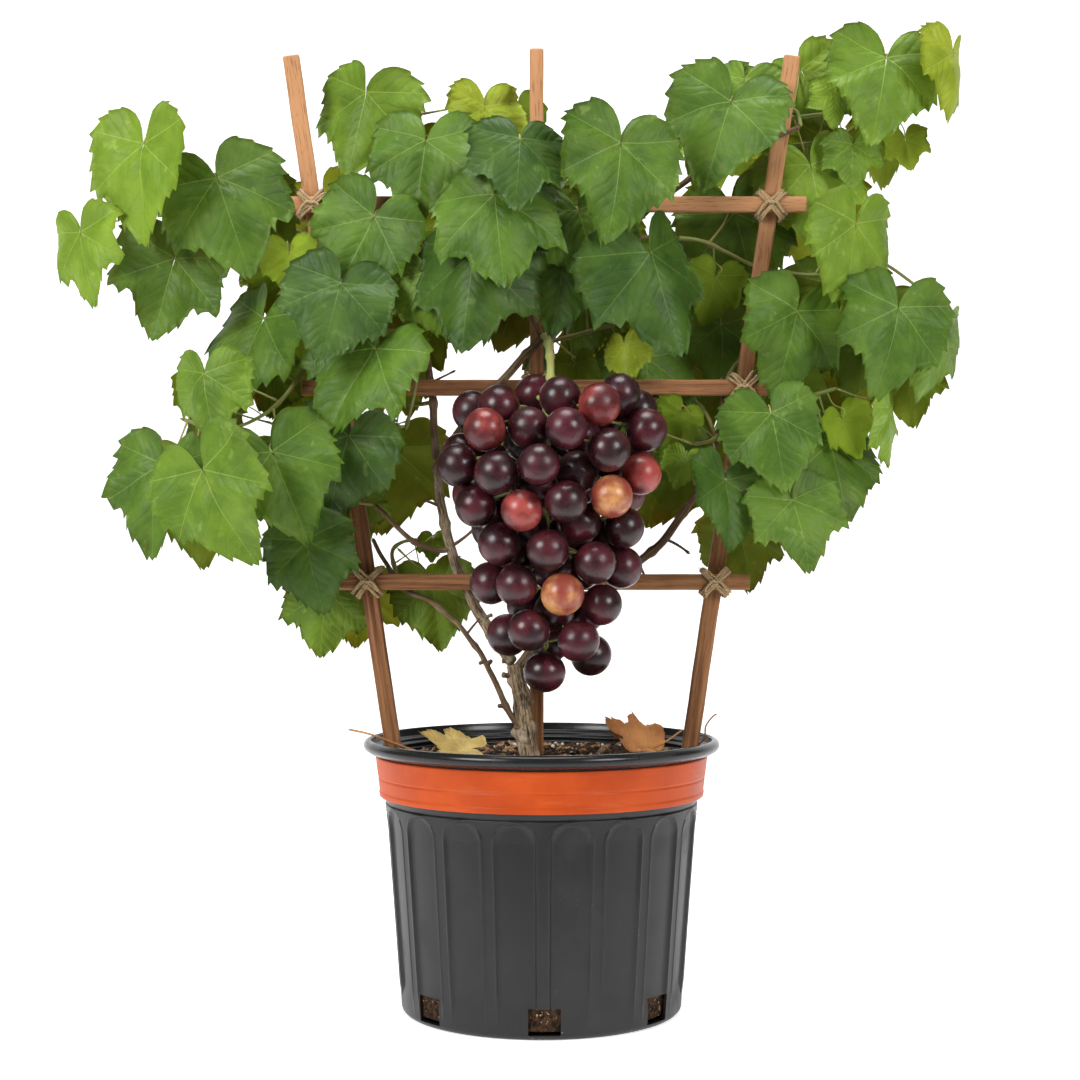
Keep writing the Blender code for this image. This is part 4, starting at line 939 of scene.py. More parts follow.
# %% Bark relief and limbs
NODE_SPACING = 0.043
BURLS = ((0.2010, 0.2, 0.0050, 0.75), (0.2030, 3.0, 0.0045, 0.55), (0.1960, 1.7, 0.0040, 0.30),
         (0.2150, 5.2, 0.0050, 0.36), (0.2275, 2.8, 0.0030, 0.42), (0.2390, 0.3, 0.0035, 0.55),
         (0.2340, 1.6, 0.0040, 0.30))
SLIMMING = {"trunk": 0.83, "left_cane": 0.84, "low_left_cane": 0.78, "right_cane": 0.88}
LIMB_STEP = 0.0010


def bark_relief(rng, stations, around, depth):
    """Sum over lobes k of cos(k a + w l + phase) / sqrt(n), sharpened into seams, times the depth."""
    angle = turns(around)
    total = np.zeros((len(stations), around))
    count = 18
    for lobes in rng.integers(2, 13, count):
        sway = rng.uniform(-60, 60)
        drift = 0.5 * np.sin(stations * rng.uniform(60, 220) + rng.uniform(0, 6))
        total += np.cos(lobes * angle[None] + (sway * stations + drift * 2 + rng.uniform(0, 6))[:, None])
    total /= math.sqrt(count)
    return depth * (np.abs(total) ** 0.7 * np.sign(total) - 0.15)


def node_swelling(stations, spacing, rng, height):
    """The sum of height exp(-((l - l_i) / 3 mm)^2) over nodes about `spacing` apart."""
    swelling = np.zeros_like(stations)
    for node in np.arange(spacing * rng.uniform(0.5, 1.0), stations[-1], spacing):
        swelling += height * np.exp(-((stations - node - rng.uniform(-0.006, 0.006)) / 0.003) ** 2)
    return swelling


def make_limb(name, limb, seed):
    """A limb's tube: an even taper, nodes, knots and bark."""
    rng = np.random.default_rng(seed)
    path = smooth_route(limb["route"], LIMB_STEP)
    shares = lengths_along(path)
    stations = distances(path)
    radius = np.interp(shares, (0.0, 1.0), limb["radii"]) * SLIMMING.get(name, 0.95)
    thick = name == "trunk"
    around = 72 if thick else 36 if radius.max() > 0.0028 else 20
    depth = 0.085 if thick else 0.075 if radius.max() > 0.0028 else 0.04
    if thick:
        rise = path[:, 2] - path[0, 2]
        radius = radius * (1 + (TRUNK_FLARE - 1) * np.clip(1 - rise / TRUNK_FLARE_HEIGHT, 0, 1) ** 2)
        path[0, 2] -= 0.003
    else:
        radius = rounded_ends(path, radius * (1 + node_swelling(stations, NODE_SPACING, rng, 0.30)),
                              radius.max() * 0.7)
        line = stations[:, None] * (1, 0, 0)
        wander = 0.0006 * np.column_stack([waves(rng, line, 0.035) for _ in range(3)])
        path = path + wander * np.sin(math.pi * shares)[:, None]
    relief = bark_relief(rng, stations, around, depth)
    angle = turns(around)
    knots = 7 if thick else 2
    for knot_share, knot_angle in zip(rng.uniform(0.1, 0.95, knots), rng.uniform(0, math.tau, knots)):
        turn = (angle - knot_angle + math.pi) % math.tau - math.pi
        away = ((stations - knot_share * stations[-1]) / (0.004 if thick else 0.0025))[:, None] ** 2
        relief += (0.22 if thick else 0.2) * np.exp(-away - (turn[None] / 0.5) ** 2)
    if thick:
        place = stacked(np.cos(angle), np.sin(angle), (stations / radius)[:, None])
        relief += 0.055 * waves(rng, place, 1.1, 16)
        for height, side, wide, swell in BURLS:
            turn = (angle - side + math.pi) % math.tau - math.pi
            relief += swell * np.exp(-((path[:, 2:] - height) / wide) ** 2 - (turn[None] / 0.9) ** 2)
    shape = Shape()
    add_tube(shape, path, radius, around, relief)
    material = old_bark if name in ("trunk", "left_cane") else cane_bark
    return shape.piece(name + "_bark", [material], [name], "vine_bark")


for _index, (_name, _limb) in enumerate(LIMBS.items()):
    make_limb(_name, _limb, 80 + _index)

# %% [markdown]
# ### Stubs and buds
# Where a shoot was pruned the wood keeps a short stub, and a young cane carries buds at its nodes.
# Each is a short tapering tube that starts inside the limb.

# %% Make the stubs
STUBS = (
    ("trunk", 0.55, (0.8, -0.3, 0.5), 0.0035, 0.0024), ("trunk", 0.86, (-0.9, -0.2, 0.2), 0.0035, 0.0026),
    ("trunk", 0.30, (-0.7, -0.6, 0.3), 0.005, 0.0026),
    ("left_cane", 0.25, (0.5, -0.7, 0.6), 0.006, 0.0016),
    ("left_cane", 0.62, (0.9, -0.2, 0.5), 0.015, 0.0014),
    ("left_cane", 0.80, (-0.9, -0.3, 0.5), 0.007, 0.0013),
    ("right_cane", 0.58, (0.3, -0.5, -0.8), 0.009, 0.0012),
    ("right_cane", 0.70, (0.9, -0.2, -0.3), 0.016, 0.0012),
    ("left_cane", 0.03, (-0.8, -0.3, -0.6), 0.0015, 0.0024),
    ("low_left_cane", 0.12, (-0.9, -0.3, 0.1), 0.0024, 0.0020),
    ("low_left_cane", 0.30, (0.8, -0.3, 0.5), 0.0024, 0.0021),
    ("low_left_cane", 0.315, (-0.8, -0.3, -0.2), 0.0020, 0.0019),
    ("low_left_cane", 0.45, (0.6, -0.3, 0.8), 0.012, 0.0010),
    ("low_left_cane", 0.72, (-0.5, 0.2, 0.8), 0.010, 0.0009),
    ("right_upper_cane", 0.25, (0.9, -0.2, 0.4), 0.010, 0.0009),
    ("arm_lower", 0.33, (-0.7, -0.5, 0.5), 0.007, 0.0011),
    ("arm_upper", 0.62, (0.2, -0.4, -0.9), 0.012, 0.0009),
    ("left_upper_cane", 0.40, (0.9, -0.3, 0.4), 0.014, 0.0010),
)
_shape = Shape()
_rng = np.random.default_rng(97)
for _name, _share, _way, _length, _thick in STUBS:
    _root, _ = place_along(smooth_route(LIMBS[_name]["route"], LIMB_STEP), _share)
    _bend = unit(_rng.normal(size=3)) * 0.25
    _t = np.linspace(0, 1, 16)[:, None]
    _path = _root + (unit(_way) * _t + _bend * _t ** 2) * (_length + LIMBS[_name]["radii"][0])
    _radius = _thick * (1 - 0.35 * _t[:, 0] + 0.35 * np.exp(-((_t[:, 0] - 0.93) / 0.08) ** 2))
    _relief = bark_relief(_rng, _t[:, 0] * _length, 14, 0.05)
    add_tube(_shape, _path, rounded_ends(_path, _radius, _thick), 14, _relief)
_shape.piece("cane_stubs", [cane_bark], [], "vine_bark")

# %% [markdown]
# ## How the shoots grow
# The solids' shoots were grown by a seeded rule, and the same rule runs here, so that every leaf lands
# in the same place. A shoot is a stem along a few points. Each leaf leaves the stem to one side on its
# petiole and hangs tip down in front of it. A leaf that would touch a slat, a cane, the bunch or another
# leaf is moved forward or back or made smaller, and it is left out where nothing fits.

# %% Shoots
def shoot(limb, at, leaves, back, leaf, face, seed, *route):
    """A shoot from `at`, a share of its limb, along a route in mm, and leaves of `leaf` mm at shares of it.

    A share below 0 puts its leaf on the other side. `back` more leaves look away from `face`, in degrees.
    """
    return dict(limb=limb, at=at, leaves=leaves, back=back, leaf=leaf / 1000, face=face, seed=seed,
                route=np.array(route) / 1000)


SHOOTS = {
    "shoot_upper_left": shoot(
        "left_arm", 1.0, (-0.11, 0.66, -0.72, 0.92, -1.0), 3, 67, -12, 11,
        (-166, 0, 507), (-193, 8, 535), (-245, 12, 571), (-282, 12, 582), (-289, 11, 583)),
    "shoot_left_top": shoot(
        "left_upper_cane", 1.0, (-0.11, 0.61, -0.84, 1.0), 2, 60, -4, 12,
        (-85, 10, 556), (-105, 14, 593), (-110, 14, 615), (-97, 14, 640), (-86, 12, 649)),
    "shoot_left_middle": shoot(
        "left_upper_cane", 0.58, (0.2, 0.97), 1, 66, -4, 13,
        (-87, -14, 465), (-91, -18, 441), (-97, -18, 416)),
    "shoot_left_inner": shoot(
        "left_arm", 0.5, (-0.55, 1.0), 1, 60, -6, 23,
        (-117, -14, 494), (-110, -16, 509)),
    "shoot_lower_left": shoot(
        "left_arm", 0.93, (-0.48, -0.97, -0.74, 0.44, 0.66), 3, 67, -14, 14,
        (-171, -12, 458), (-194, -12, 431), (-227, -10, 417), (-260, -8, 425)),
    "shoot_left_low": shoot(
        "left_twig", 1.0, (0.35, -0.97), 2, 56, -8, 15,
        (-141, -12, 366), (-160, -12, 368)),
    "shoot_low": shoot(
        "low_left_cane", 1.0, (0.15, -0.97), 2, 45, -4, 16,
        (-138, 14, 338), (-151, 14, 338)),
    "shoot_low_inner": shoot(
        "low_left_cane", 0.8, (0.6, -0.9), 1, 48, 4, 24,
        (-109, 14, 328), (-102, 18, 336), (-89, 20, 338)),
    "shoot_centre_top": shoot(
        "centre_twig", 1.0, (-0.03, 0.3, -0.58, 0.75, -1.0), 0, 67, 0, 17,
        (-17, -14, 536), (-11, -14, 559), (-7, -14, 581)),
    "shoot_centre_right": shoot(
        "arm_lower", 0.97, (0.3, -0.85), 0, 76, 4, 18,
        (50, -14, 552), (62, -16, 575), (73, -16, 590)),
    "shoot_centre_back": shoot(
        "arm_lower", 0.62, (-0.45, 0.75, 1.0), 2, 60, 0, 25,
        (28, 14, 488), (59, 24, 498), (91, 26, 510)),
    "shoot_right_top": shoot(
        "arm_upper", 0.75, (-0.04, 0.4, -0.76, -0.26, -1.0), 2, 70, 8, 19,
        (166, 14, 641), (200, 16, 648), (234, 16, 651), (267, 12, 662)),
    "shoot_right_peak": shoot(
        "arm_upper", 1.0, (0.55, 1.0), 0, 50, 6, 126,
        (186, 14, 650), (178, 30, 654), (172, 40, 656)),
    "shoot_right_middle": shoot(
        "arm_upper", 0.17, (-0.28, 0.55, -0.64, 0.81, 1.0), 2, 67, 10, 20,
        (115, 14, 556), (156, 18, 538), (203, 12, 531), (246, 10, 540), (278, 8, 518)),
    "shoot_lower_right": shoot(
        "right_cane", 0.93, (0.96, -0.78), 2, 58, 10, 22,
        (131, -8, 388), (145, -14, 391), (169, -14, 398)),
    "shoot_right_inner": shoot(
        "right_upper_cane", 0.35, (-0.5, 1.0), 1, 56, 4, 27,
        (122, -9, 409), (108, -14, 406)),
    "shoot_right": shoot(
        "right_upper_cane", 0.5, (0.8, 1.0, 0.35), 2, 58, 14, 21,
        (150, 14, 427), (181, 12, 438), (215, 6, 448)),
    "shoot_rear_upper_left": shoot(
        "left_upper_cane", 0.75, (0.18, -0.34, 0.5, -0.66, 0.82, -1.0), 0, 66, 186, 31,
        (-107, 24, 531), (-141, 32, 552), (-178, 34, 565), (-211, 32, 570)),
    "shoot_rear_left": shoot(
        "left_upper_cane", 0.3, (0.25, -0.4, 0.55, -0.7, 0.85, -1.0), 0, 66, 184, 32,
        (-95, 22, 437), (-125, 32, 441), (-164, 36, 435), (-200, 32, 423)),
    "shoot_rear_top": shoot(
        "arm_lower", 0.85, (0.22, -0.38, 0.54, -0.7, 0.86, -1.0), 0, 64, 180, 33,
        (19, 24, 542), (3, 34, 573), (-7, 34, 600), (-16, 30, 625)),
    "shoot_rear_right_top": shoot(
        "arm_upper", 0.45, (-0.2, 0.38, -0.54, 0.72, -0.86, 1.0), 0, 66, 174, 34,
        (120, 24, 612), (150, 32, 623), (183, 34, 629), (216, 32, 632)),
    "shoot_rear_right": shoot(
        "right_upper_cane", 0.85, (0.22, -0.38, 0.54, -0.7, 0.86, -1.0), 0, 66, 176, 35,
        (144, 26, 468), (172, 34, 485), (206, 34, 496), (236, 30, 498)),
    "shoot_rear_centre": shoot(
        "right_upper_cane", 0.3, (0.24, -0.38, 0.54, -0.7, 0.86, -1.0), 0, 66, 182, 36,
        (118, 22, 434), (96, 34, 450), (64, 34, 459), (34, 30, 464)),
    "shoot_rear_lower_right": shoot(
        "right_cane", 0.8, (0.3, -0.62, 1.0), 0, 50, 176, 37,
        (121, 22, 378), (147, 30, 384), (167, 30, 395)),
}

# %% Growth sizes
LEAF_HALF = ((0, 1.00), (24, 0.79), (58, 0.69), (100, 0.63), (148, 0.46))
SINUS = 0.02
SEAT = 0.018
HUB = 0.30
LEAF_CLEARANCE = 0.0018
STALK_CLEARANCE = 0.0008
PETIOLE = 0.036
PETIOLE_RADIUS = 0.0012
PETIOLE_REACH = 0.55
SEAT_DROP = 0.007
SEAT_DEPTH = 0.006
STEM_RADIUS = 0.0016
STEM_TIP_RADIUS = 0.0011
STEM_STEP = 0.028
LIFT = 0.013
DEPTH_STEPS = (0.0, 0.007, -0.006, 0.014, -0.013, 0.021, -0.021, 0.029, 0.037, -0.029, -0.037)
SMALLER = (1.0, 0.85, 0.72)
LAST_LEAF = 0.8


# %% The space that is taken
class Space:
    """The solids that already stand, so that a new twig or leaf can be tested against them."""

    def __init__(self):
        self.taken = []

    def add(self, shape, owner):
        points, faces = shape
        tree = BVHTree.FromPolygons(points.tolist(), faces)
        self.taken.append((tree, points.min(axis=0), points.max(axis=0), owner))

    def free(self, shape, but=None):
        points, faces = shape
        low, high = points.min(axis=0), points.max(axis=0)
        tree = None
        for other, other_low, other_high, owner in self.taken:
            if owner == but or (low > other_high).any() or (high < other_low).any():
                continue
            tree = tree or BVHTree.FromPolygons(points.tolist(), faces)
            if tree.overlap(other):
                return False
        return True


def node_shape(name):
    """A solid of the frame as points and faces."""
    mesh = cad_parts[name].data
    points = np.empty(len(mesh.vertices) * 3)
    mesh.vertices.foreach_get("co", points)
    return points.reshape(-1, 3), [tuple(face.vertices) for face in mesh.polygons]


def tube_shape(points, radii, sides=6):
    """A plain test tube round the points: rings of `sides` corners square to the way between them."""
    points = np.asarray(points, float)
    along = units(np.gradient(points, axis=0))
    helper = np.where(np.abs(along[:, 2:]) > 0.9, (1.0, 0.0, 0.0), (0.0, 0.0, 1.0))
    first = units(np.cross(along, helper))
    second = np.cross(along, first)
    ring = around_axis(turns(sides), first[:, None], second[:, None])
    corners = points[:, None] + ring * np.asarray(radii, float).reshape(-1, 1, 1)
    faces, _ = grid(len(points), sides, wrap=True)
    return corners.reshape(-1, 3), faces.tolist()


# %% A leaf's plain outline
def leaf_outline():
    """Corners of a flat leaf of length 1, x across and y from the junction to the tip."""
    angles = np.radians([angle for angle, _ in LEAF_HALF])
    reach = np.array([length for _, length in LEAF_HALF])
    right = np.column_stack([np.sin(angles), np.cos(angles)]) * reach[:, None]
    left = right[:0:-1] * (-1, 1)
    return np.vstack([[(-SEAT, SINUS), (SEAT, SINUS)], right[::-1], left[::-1]])


def leaf_corners(leaf):
    """The leaf's corners and then its hub: folded along the midrib and curled towards its tip."""
    flat = np.vstack([leaf_outline(), [(0.0, HUB)]])
    rise = leaf["fold"] * np.abs(flat[:, 0]) - leaf["curl"] * flat[:, 1] * np.abs(flat[:, 1])
    rise -= leaf["droop"] * flat[:, 0] ** 2
    local = np.column_stack([flat[:, 0], flat[:, 1], rise]) * leaf["length"]
    return leaf["joint"] + local @ np.array([leaf["across"], leaf["along"], leaf["normal"]])


def leaf_shape(leaf):
    """The test shape of a leaf: its front and back pushed out by the clearance that it keeps."""
    corners = leaf_corners(leaf)
    count = len(corners) - 1
    shift = leaf["normal"] * LEAF_CLEARANCE
    front = [(i, (i + 1) % count, count) for i in range(count)]
    back = [tuple(corner + count + 1 for corner in face) for face in front]
    rim = [(i, (i + 1) % count, (i + 1) % count + count + 1, i + count + 1) for i in range(count)]
    return np.vstack([corners + shift, corners - shift]), front + back + rim


def petiole_route(leaf):
    """From the middle of the stem, out and round to above and behind the blade, and down to its seat."""
    start = leaf["root"]
    seat = leaf["joint"] + leaf["along"] * SINUS * leaf["length"]
    above = seat - leaf["along"] * SEAT_DROP - leaf["normal"] * SEAT_DEPTH
    bend = start + leaf["leave"] * PETIOLE_REACH * np.linalg.norm(above - start)
    t = np.array([0.0, 0.5, 1.0])[:, None]
    curve = (1 - t) ** 2 * start + 2 * t * (1 - t) * bend + t ** 2 * above
    return np.vstack([curve, seat])


# %% One leaf, and room for it
def new_leaf(root, stem_way, spot, facing, size, rng):
    """One leaf: its petiole leaves the stem to one side, and its blade hangs tip down in front of it.

    The last leaf of a stem is younger, carries the stem's own direction on and faces that way.
    """
    down = np.array([0.0, 0.0, -1.0])
    if abs(spot) == 1.0:
        size = size * LAST_LEAF
        facing = unit(facing + stem_way * (1.0, 1.0, 0.0))
    lateral = unit(np.cross(stem_way, facing)) * math.copysign(1.0, spot)
    forward = 1.6 if abs(spot) == 1.0 else rng.uniform(0.25, 0.45)
    leave = unit(lateral + stem_way * forward + facing * 0.25)
    if leave[2] < 0:
        leave = unit(leave * (0.45, 1.0, 1.0))
    reach = PETIOLE * rng.uniform(0.9, 1.1)
    joint = root + leave * reach + facing * LIFT * rng.uniform(0.7, 1.3)
    turn = rng.uniform(-0.55, 0.55)
    tilt = rng.uniform(-0.02, 0.50)
    right = unit(np.cross(facing, down))
    normal = unit(facing + right * turn - down * tilt)
    outward = math.copysign(1.0, float(lateral @ right)) if abs(lateral @ right) > 0.3 else 0.0
    along = down + right * (outward * rng.uniform(0.0, 0.40) + rng.uniform(-0.25, 0.25))
    along = unit(along - normal * float(along @ normal))
    return dict(
        root=root, leave=leave, joint=joint, normal=normal, along=along,
        across=np.cross(along, normal), length=size * rng.uniform(0.9, 1.1),
        fold=rng.uniform(-0.42, 0.26), curl=rng.uniform(0.02, 0.34), droop=rng.uniform(-0.10, 0.40))


def fit_leaf(leaf, facing, shoot_name, space, smaller=SMALLER):
    """Moves the leaf forward or back until it and its petiole touch nothing; None where it can't."""
    for scale in smaller:
        for step in DEPTH_STEPS:
            moved = dict(leaf, joint=leaf["joint"] + facing * step, length=leaf["length"] * scale)
            stalk = petiole_route(moved)
            radii = np.full(len(stalk), PETIOLE_RADIUS + STALK_CLEARANCE)
            if not space.free(leaf_shape(moved)):
                continue
            if space.free(tube_shape(stalk, radii), but=shoot_name + "_stem"):
                stalk[0] += unit(stalk[1] - stalk[0]) * (STEM_RADIUS + STALK_CLEARANCE * 3)
                space.add(leaf_shape(moved), shoot_name)
                space.add(tube_shape(stalk, radii), shoot_name)
                return moved
    return None


def shoot_stem(shoot):
    """The stem's points and radii, from the middle of the limb that carries it, or just past its tip."""
    limb = LIMBS[shoot["limb"]]
    start, way = place_along(smooth_route(limb["route"], limb["step"]), shoot["at"])
    if shoot["at"] == 1.0:
        start = start + way * GAP * 1.5
    route = smooth_route(np.vstack([start, shoot["route"]]), STEM_STEP)
    return route, np.interp(lengths_along(route), (0.0, 1.0), (STEM_RADIUS, STEM_TIP_RADIUS))


# %% Grow them
def facing_at(shoot, turned_round, rng):
    """Which way a leaf of that shoot looks: the shoot's own way, give or take a little."""
    face = math.radians(shoot["face"] + (180 if turned_round else 0))
    turn = face + rng.uniform(-0.15, 0.15)
    return np.array([math.sin(turn), -math.cos(turn), 0.0])


def grow_shoots(space):
    """Every shoot's stem, then all the front leaves, then all the back ones, by one seeded rule."""
    grown, draws = {}, {}
    for name, shoot in SHOOTS.items():
        route, radii = shoot_stem(shoot)
        grown[name] = dict(route=route, radii=radii, leaves=[], young=[])
        draws[name] = np.random.default_rng(shoot["seed"])
        space.add(tube_shape(route, radii + STALK_CLEARANCE), name + "_stem")
    for turned_round in (False, True):
        for name, shoot in SHOOTS.items():
            back_spots = [(-1) ** i * (i + 0.7) / shoot["back"] for i in range(shoot["back"])]
            for spot in back_spots if turned_round else shoot["leaves"]:
                root, way = place_along(grown[name]["route"], abs(spot) * 0.985)
                facing = facing_at(shoot, turned_round, draws[name])
                leaf = new_leaf(root, way, spot, facing, shoot["leaf"], draws[name])
                fitted = fit_leaf(leaf, facing, name, space)
                if fitted:
                    grown[name]["leaves"].append(fitted)
    return grown


space = Space()
for _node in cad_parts:
    if _node.startswith(("trellis_", "lashing_", "grape_")) or _node in LIMBS:
        space.add(node_shape(_node), _node)
grown = grow_shoots(space)
_slack = []
for _name, _growth in grown.items():
    _low, _high = (np.array(corner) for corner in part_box(_name))
    _hulls = np.vstack([leaf_corners(leaf) for leaf in _growth["leaves"]] + [_growth["route"]])
    _slack.append(max(np.abs(_hulls.min(axis=0) - _low).max(), np.abs(_hulls.max(axis=0) - _high).max()))
print(sum(len(growth["leaves"]) for growth in grown.values()), "leaves; furthest from its solid",
      round(max(_slack) * 1000, 1), "mm")

# %% [markdown]
# ### Young leaves
# Between the full leaves of a real shoot there are younger ones, half the size or less. The solids
# leave them out. They grow here by the same rule, in the room that is left.

# %% Young leaves
YOUNG_SPOTS = (-0.30, 0.62, -0.92)
YOUNG_SIZE = 0.52
YOUNG_FRONT = -0.018


def grow_young(grown, space):
    """Small leaves at the spots between the others, to the front and to the back by turns."""
    low, high = (np.array(corner) + shift for corner, shift in zip(cad_box, (0.012, -0.012)))
    low[1] = YOUNG_FRONT
    for name, shoot in SHOOTS.items():
        rng = np.random.default_rng(shoot["seed"] + 100)
        for index, spot in enumerate(YOUNG_SPOTS):
            root, way = place_along(grown[name]["route"], abs(spot) * 0.985)
            facing = facing_at(shoot, index % 2 == 0, rng)
            leaf = new_leaf(root, way, spot, facing, shoot["leaf"] * YOUNG_SIZE, rng)
            leaf["joint"] = root + (leaf["joint"] - root) * rng.uniform(0.55, 0.9)
            corners = leaf_corners(leaf)
            if (corners < low).any() or (corners > high).any():
                continue
            fitted = fit_leaf(leaf, facing, name, space, smaller=(1.0, 0.75))
            if fitted:
                grown[name]["young"].append(fitted)


grow_young(grown, space)
print(sum(len(growth["young"]) for growth in grown.values()), "young leaves")

# Two leaves hang where the photograph shows sky, and the finished vine does without them.
OPEN = {"shoot_low_inner": 1, "shoot_right_top": 5}
for _name, _index in OPEN.items():
    del grown[_name]["leaves"][_index]

# %% [markdown]
# ## Leaf blades
# A muscadine leaf is a rounded heart with coarse teeth and a pointed tip, and five veins fan out from
# the top of its petiole. The blade is a grid of rings from a hub out to a toothed edge. Its height above
# the flat leaf adds up a fold at the midrib, a curl to the tip, a quilting between the veins and a
# wave that grows towards the margin. A second, lower copy of the grid makes the underside, so that the
# blade is a closed shell a third of a millimetre thick with its own paler finish below.

# %% The toothed edge
EDGE = ((0, 1.00), (5, 0.920), (11, 0.850), (24, 0.750), (40, 0.695), (58, 0.680), (76, 0.660), (100, 0.615),
        (125, 0.540), (145, 0.460), (157, 0.350), (166, 0.180), (171, 0.045))
LOBES = ((54, 9, 0.13), (33, 9, -0.09), (104, 11, 0.06), (80, 9, -0.05))
TEETH = 12
TOOTH = 0.095
TOOTH_SHAPE = ((0.0, 0.0), (0.15, 0.55), (0.30, 1.0), (0.55, 0.42), (0.80, 0.12))
BLADE_HUB = 0.12
BLADE_THICKNESS = 0.00034
VEIN_ANGLES = (0.0, 0.93, 1.83)


def half_edge(lobed, teeth, rng):
    """Half an edge: r(a) (sin a, cos a) for angles a from the tip, first smooth and then with teeth.

    r(a) is read from EDGE and swells by `lobed` times exp(-((a - at) / wide)^2) at each lobe. A tooth
    adds up to TOOTH to r, rises fast on its side towards the tip and leans that way.
    """
    widths = rng.uniform(0.6, 1.4, teeth) * np.linspace(0.75, 1.25, teeth)
    starts = 2.5 + 148 * np.concatenate([[0], np.cumsum(widths)]) / widths.sum()
    t, saw = np.array(TOOTH_SHAPE).T
    size = TOOTH * rng.uniform(0.5, 1.3, teeth) * np.clip((160 - starts[:-1]) / 40, 0, 1)
    toothed = starts[:-1, None] + t * np.diff(starts)[:, None]
    angle = np.concatenate([[0], toothed.ravel(), [151, 158, 163, 167, 171]])
    bump = np.concatenate([[0], (size[:, None] * saw).ravel(), np.zeros(5)])
    reach = np.interp(angle, *np.array(EDGE).T)
    for at, wide, swell in LOBES:
        reach = reach + lobed * swell * np.exp(-((angle - at) / wide) ** 2)

    def around(degrees, radius):
        turn = np.radians(degrees)
        return np.column_stack([np.sin(turn), np.cos(turn)]) * radius[:, None]

    return around(angle, reach), around(angle - np.degrees(bump) * 0.45, reach * (1 + bump))


def vein_distance(x, y):
    """How far a point of the flat leaf is from the nearest of the five main veins."""
    radius = np.hypot(x, y)
    angle = np.arctan2(np.abs(x), y)
    nearest = np.min([np.abs(angle - vein) for vein in VEIN_ANGLES], axis=0)
    return radius * np.sin(np.clip(nearest, 0, math.pi / 2))


EDGE_EASE = 0.010


def add_blade(shape, leaf, teeth, rings, tone, rng):
    """Both faces of a leaf and its rim: rings hub + (edge - hub) m for m from 0 to 1, lifted by `rise`.

    The rise is fold |x| - curl y |y| - droop x^2, the same as the plain leaf's, and then a quilting
    between the veins, a wave that grows with m^3 towards the margin, a twist x y and a soft unevenness.
    The tips of the outermost leaves are eased back by a tanh, to stay within the solids' width.
    """
    lobed = rng.uniform(0.0, 1.0)
    halves = [half_edge(lobed, teeth, rng) for _ in range(2)]
    smooth, edge = (np.vstack([halves[0][k][::-1][:-1] * (-1, 1), halves[1][k]]) for k in (0, 1))
    columns = len(edge)
    share = np.linspace(0, 1, rings + 1)[1:] ** 0.85
    hub = np.array([0.0, BLADE_HUB])
    spread = share[:, None, None]
    flat = hub + (smooth - hub) * spread + (edge - smooth) * spread ** 8
    flat = np.vstack([flat.reshape(-1, 2), [hub]])
    x, y = flat[:, 0], flat[:, 1]
    out = np.append(np.repeat(share, columns), 0.0)
    round_edge = np.append(np.tile(np.linspace(0, 1, columns), rings), 0.0)
    rise = leaf["fold"] * (np.sqrt(x ** 2 + 0.0016) - 0.04) - leaf["curl"] * y * np.abs(y)
    rise = rise - leaf["droop"] * x ** 2
    rise = rise + 0.028 * (1 - np.exp(-(vein_distance(x, y) / 0.08) ** 2)) * (1 - 0.6 * out ** 3)
    swing = np.sin(math.tau * (round_edge * rng.uniform(3.5, 7.0) + rng.uniform()))
    rise = rise + rng.uniform(0.02, 0.055) * out ** 3 * swing + rng.uniform(-0.16, 0.16) * x * y
    crumple = waves(rng, np.column_stack([x, y, out * 0]), leaf.get("crease", 0.8), 5)
    rise = rise + leaf.get("crumple", 0.022) * crumple
    local = np.column_stack([x, y, rise]) * leaf["length"]
    middle = leaf["joint"] + local @ np.array([leaf["across"], leaf["along"], leaf["normal"]])
    inner = np.clip(middle[:, 0], cad_box[0][0] + EDGE_EASE, cad_box[1][0] - EDGE_EASE)
    middle[:, 0] = inner + EDGE_EASE * np.tanh((middle[:, 0] - inner) / EDGE_EASE)
    thin = np.append(np.repeat(np.sqrt(np.clip(1 - share ** 10, 0.15, 1)), columns), 1.0)[:, None]
    lift = leaf["normal"] * BLADE_THICKNESS / 2 * thin
    places = np.column_stack([x * 0.5 + 0.5, y * 0.5 + 0.3])
    wall, _ = grid(rings, columns)
    ring = np.arange(columns - 1)
    centre = np.column_stack([np.full(columns - 1, rings * columns), ring + 1, ring])
    count = rings * columns + 1
    points = np.vstack([middle + lift, middle - lift])
    every = np.vstack([places, places])
    top, under = tone * 2, tone * 2 + 1
    last = (rings - 1) * columns
    rim = np.column_stack([ring + last, ring + last + count, ring + 1 + last + count, ring + 1 + last])
    seam = np.arange(rings - 1) * columns
    left = np.column_stack([seam, seam + columns, seam + columns + count, seam + count])
    right = np.column_stack([seam, seam + count, seam + columns + count, seam + columns]) + columns - 1
    hub_left = np.array([[rings * columns, 0, count, rings * columns + count]])
    hub_right = np.array([[rings * columns, rings * columns + count, count + columns - 1, columns - 1]])
    shape.add(points, wall, every, top)
    shape.extend(centre, every[centre], top)
    for faces in (wall[:, ::-1] + count, centre[:, ::-1] + count, rim, left, right, hub_left, hub_right):
        shape.extend(faces, every[faces], under)


# %% [markdown]
# ### Leaf finishes
# The upper side is a matt green, a little blotched, with paler veins sunk in it; the underside is
# paler and yellower, and its veins stand out. The veins are drawn from the blade's own places: a point's
# distance from the nearest main vein is r sin(a), and side veins leave it at 45 degrees, so they are
# where r cos(a) - r sin(a) passes a whole number of spacings.


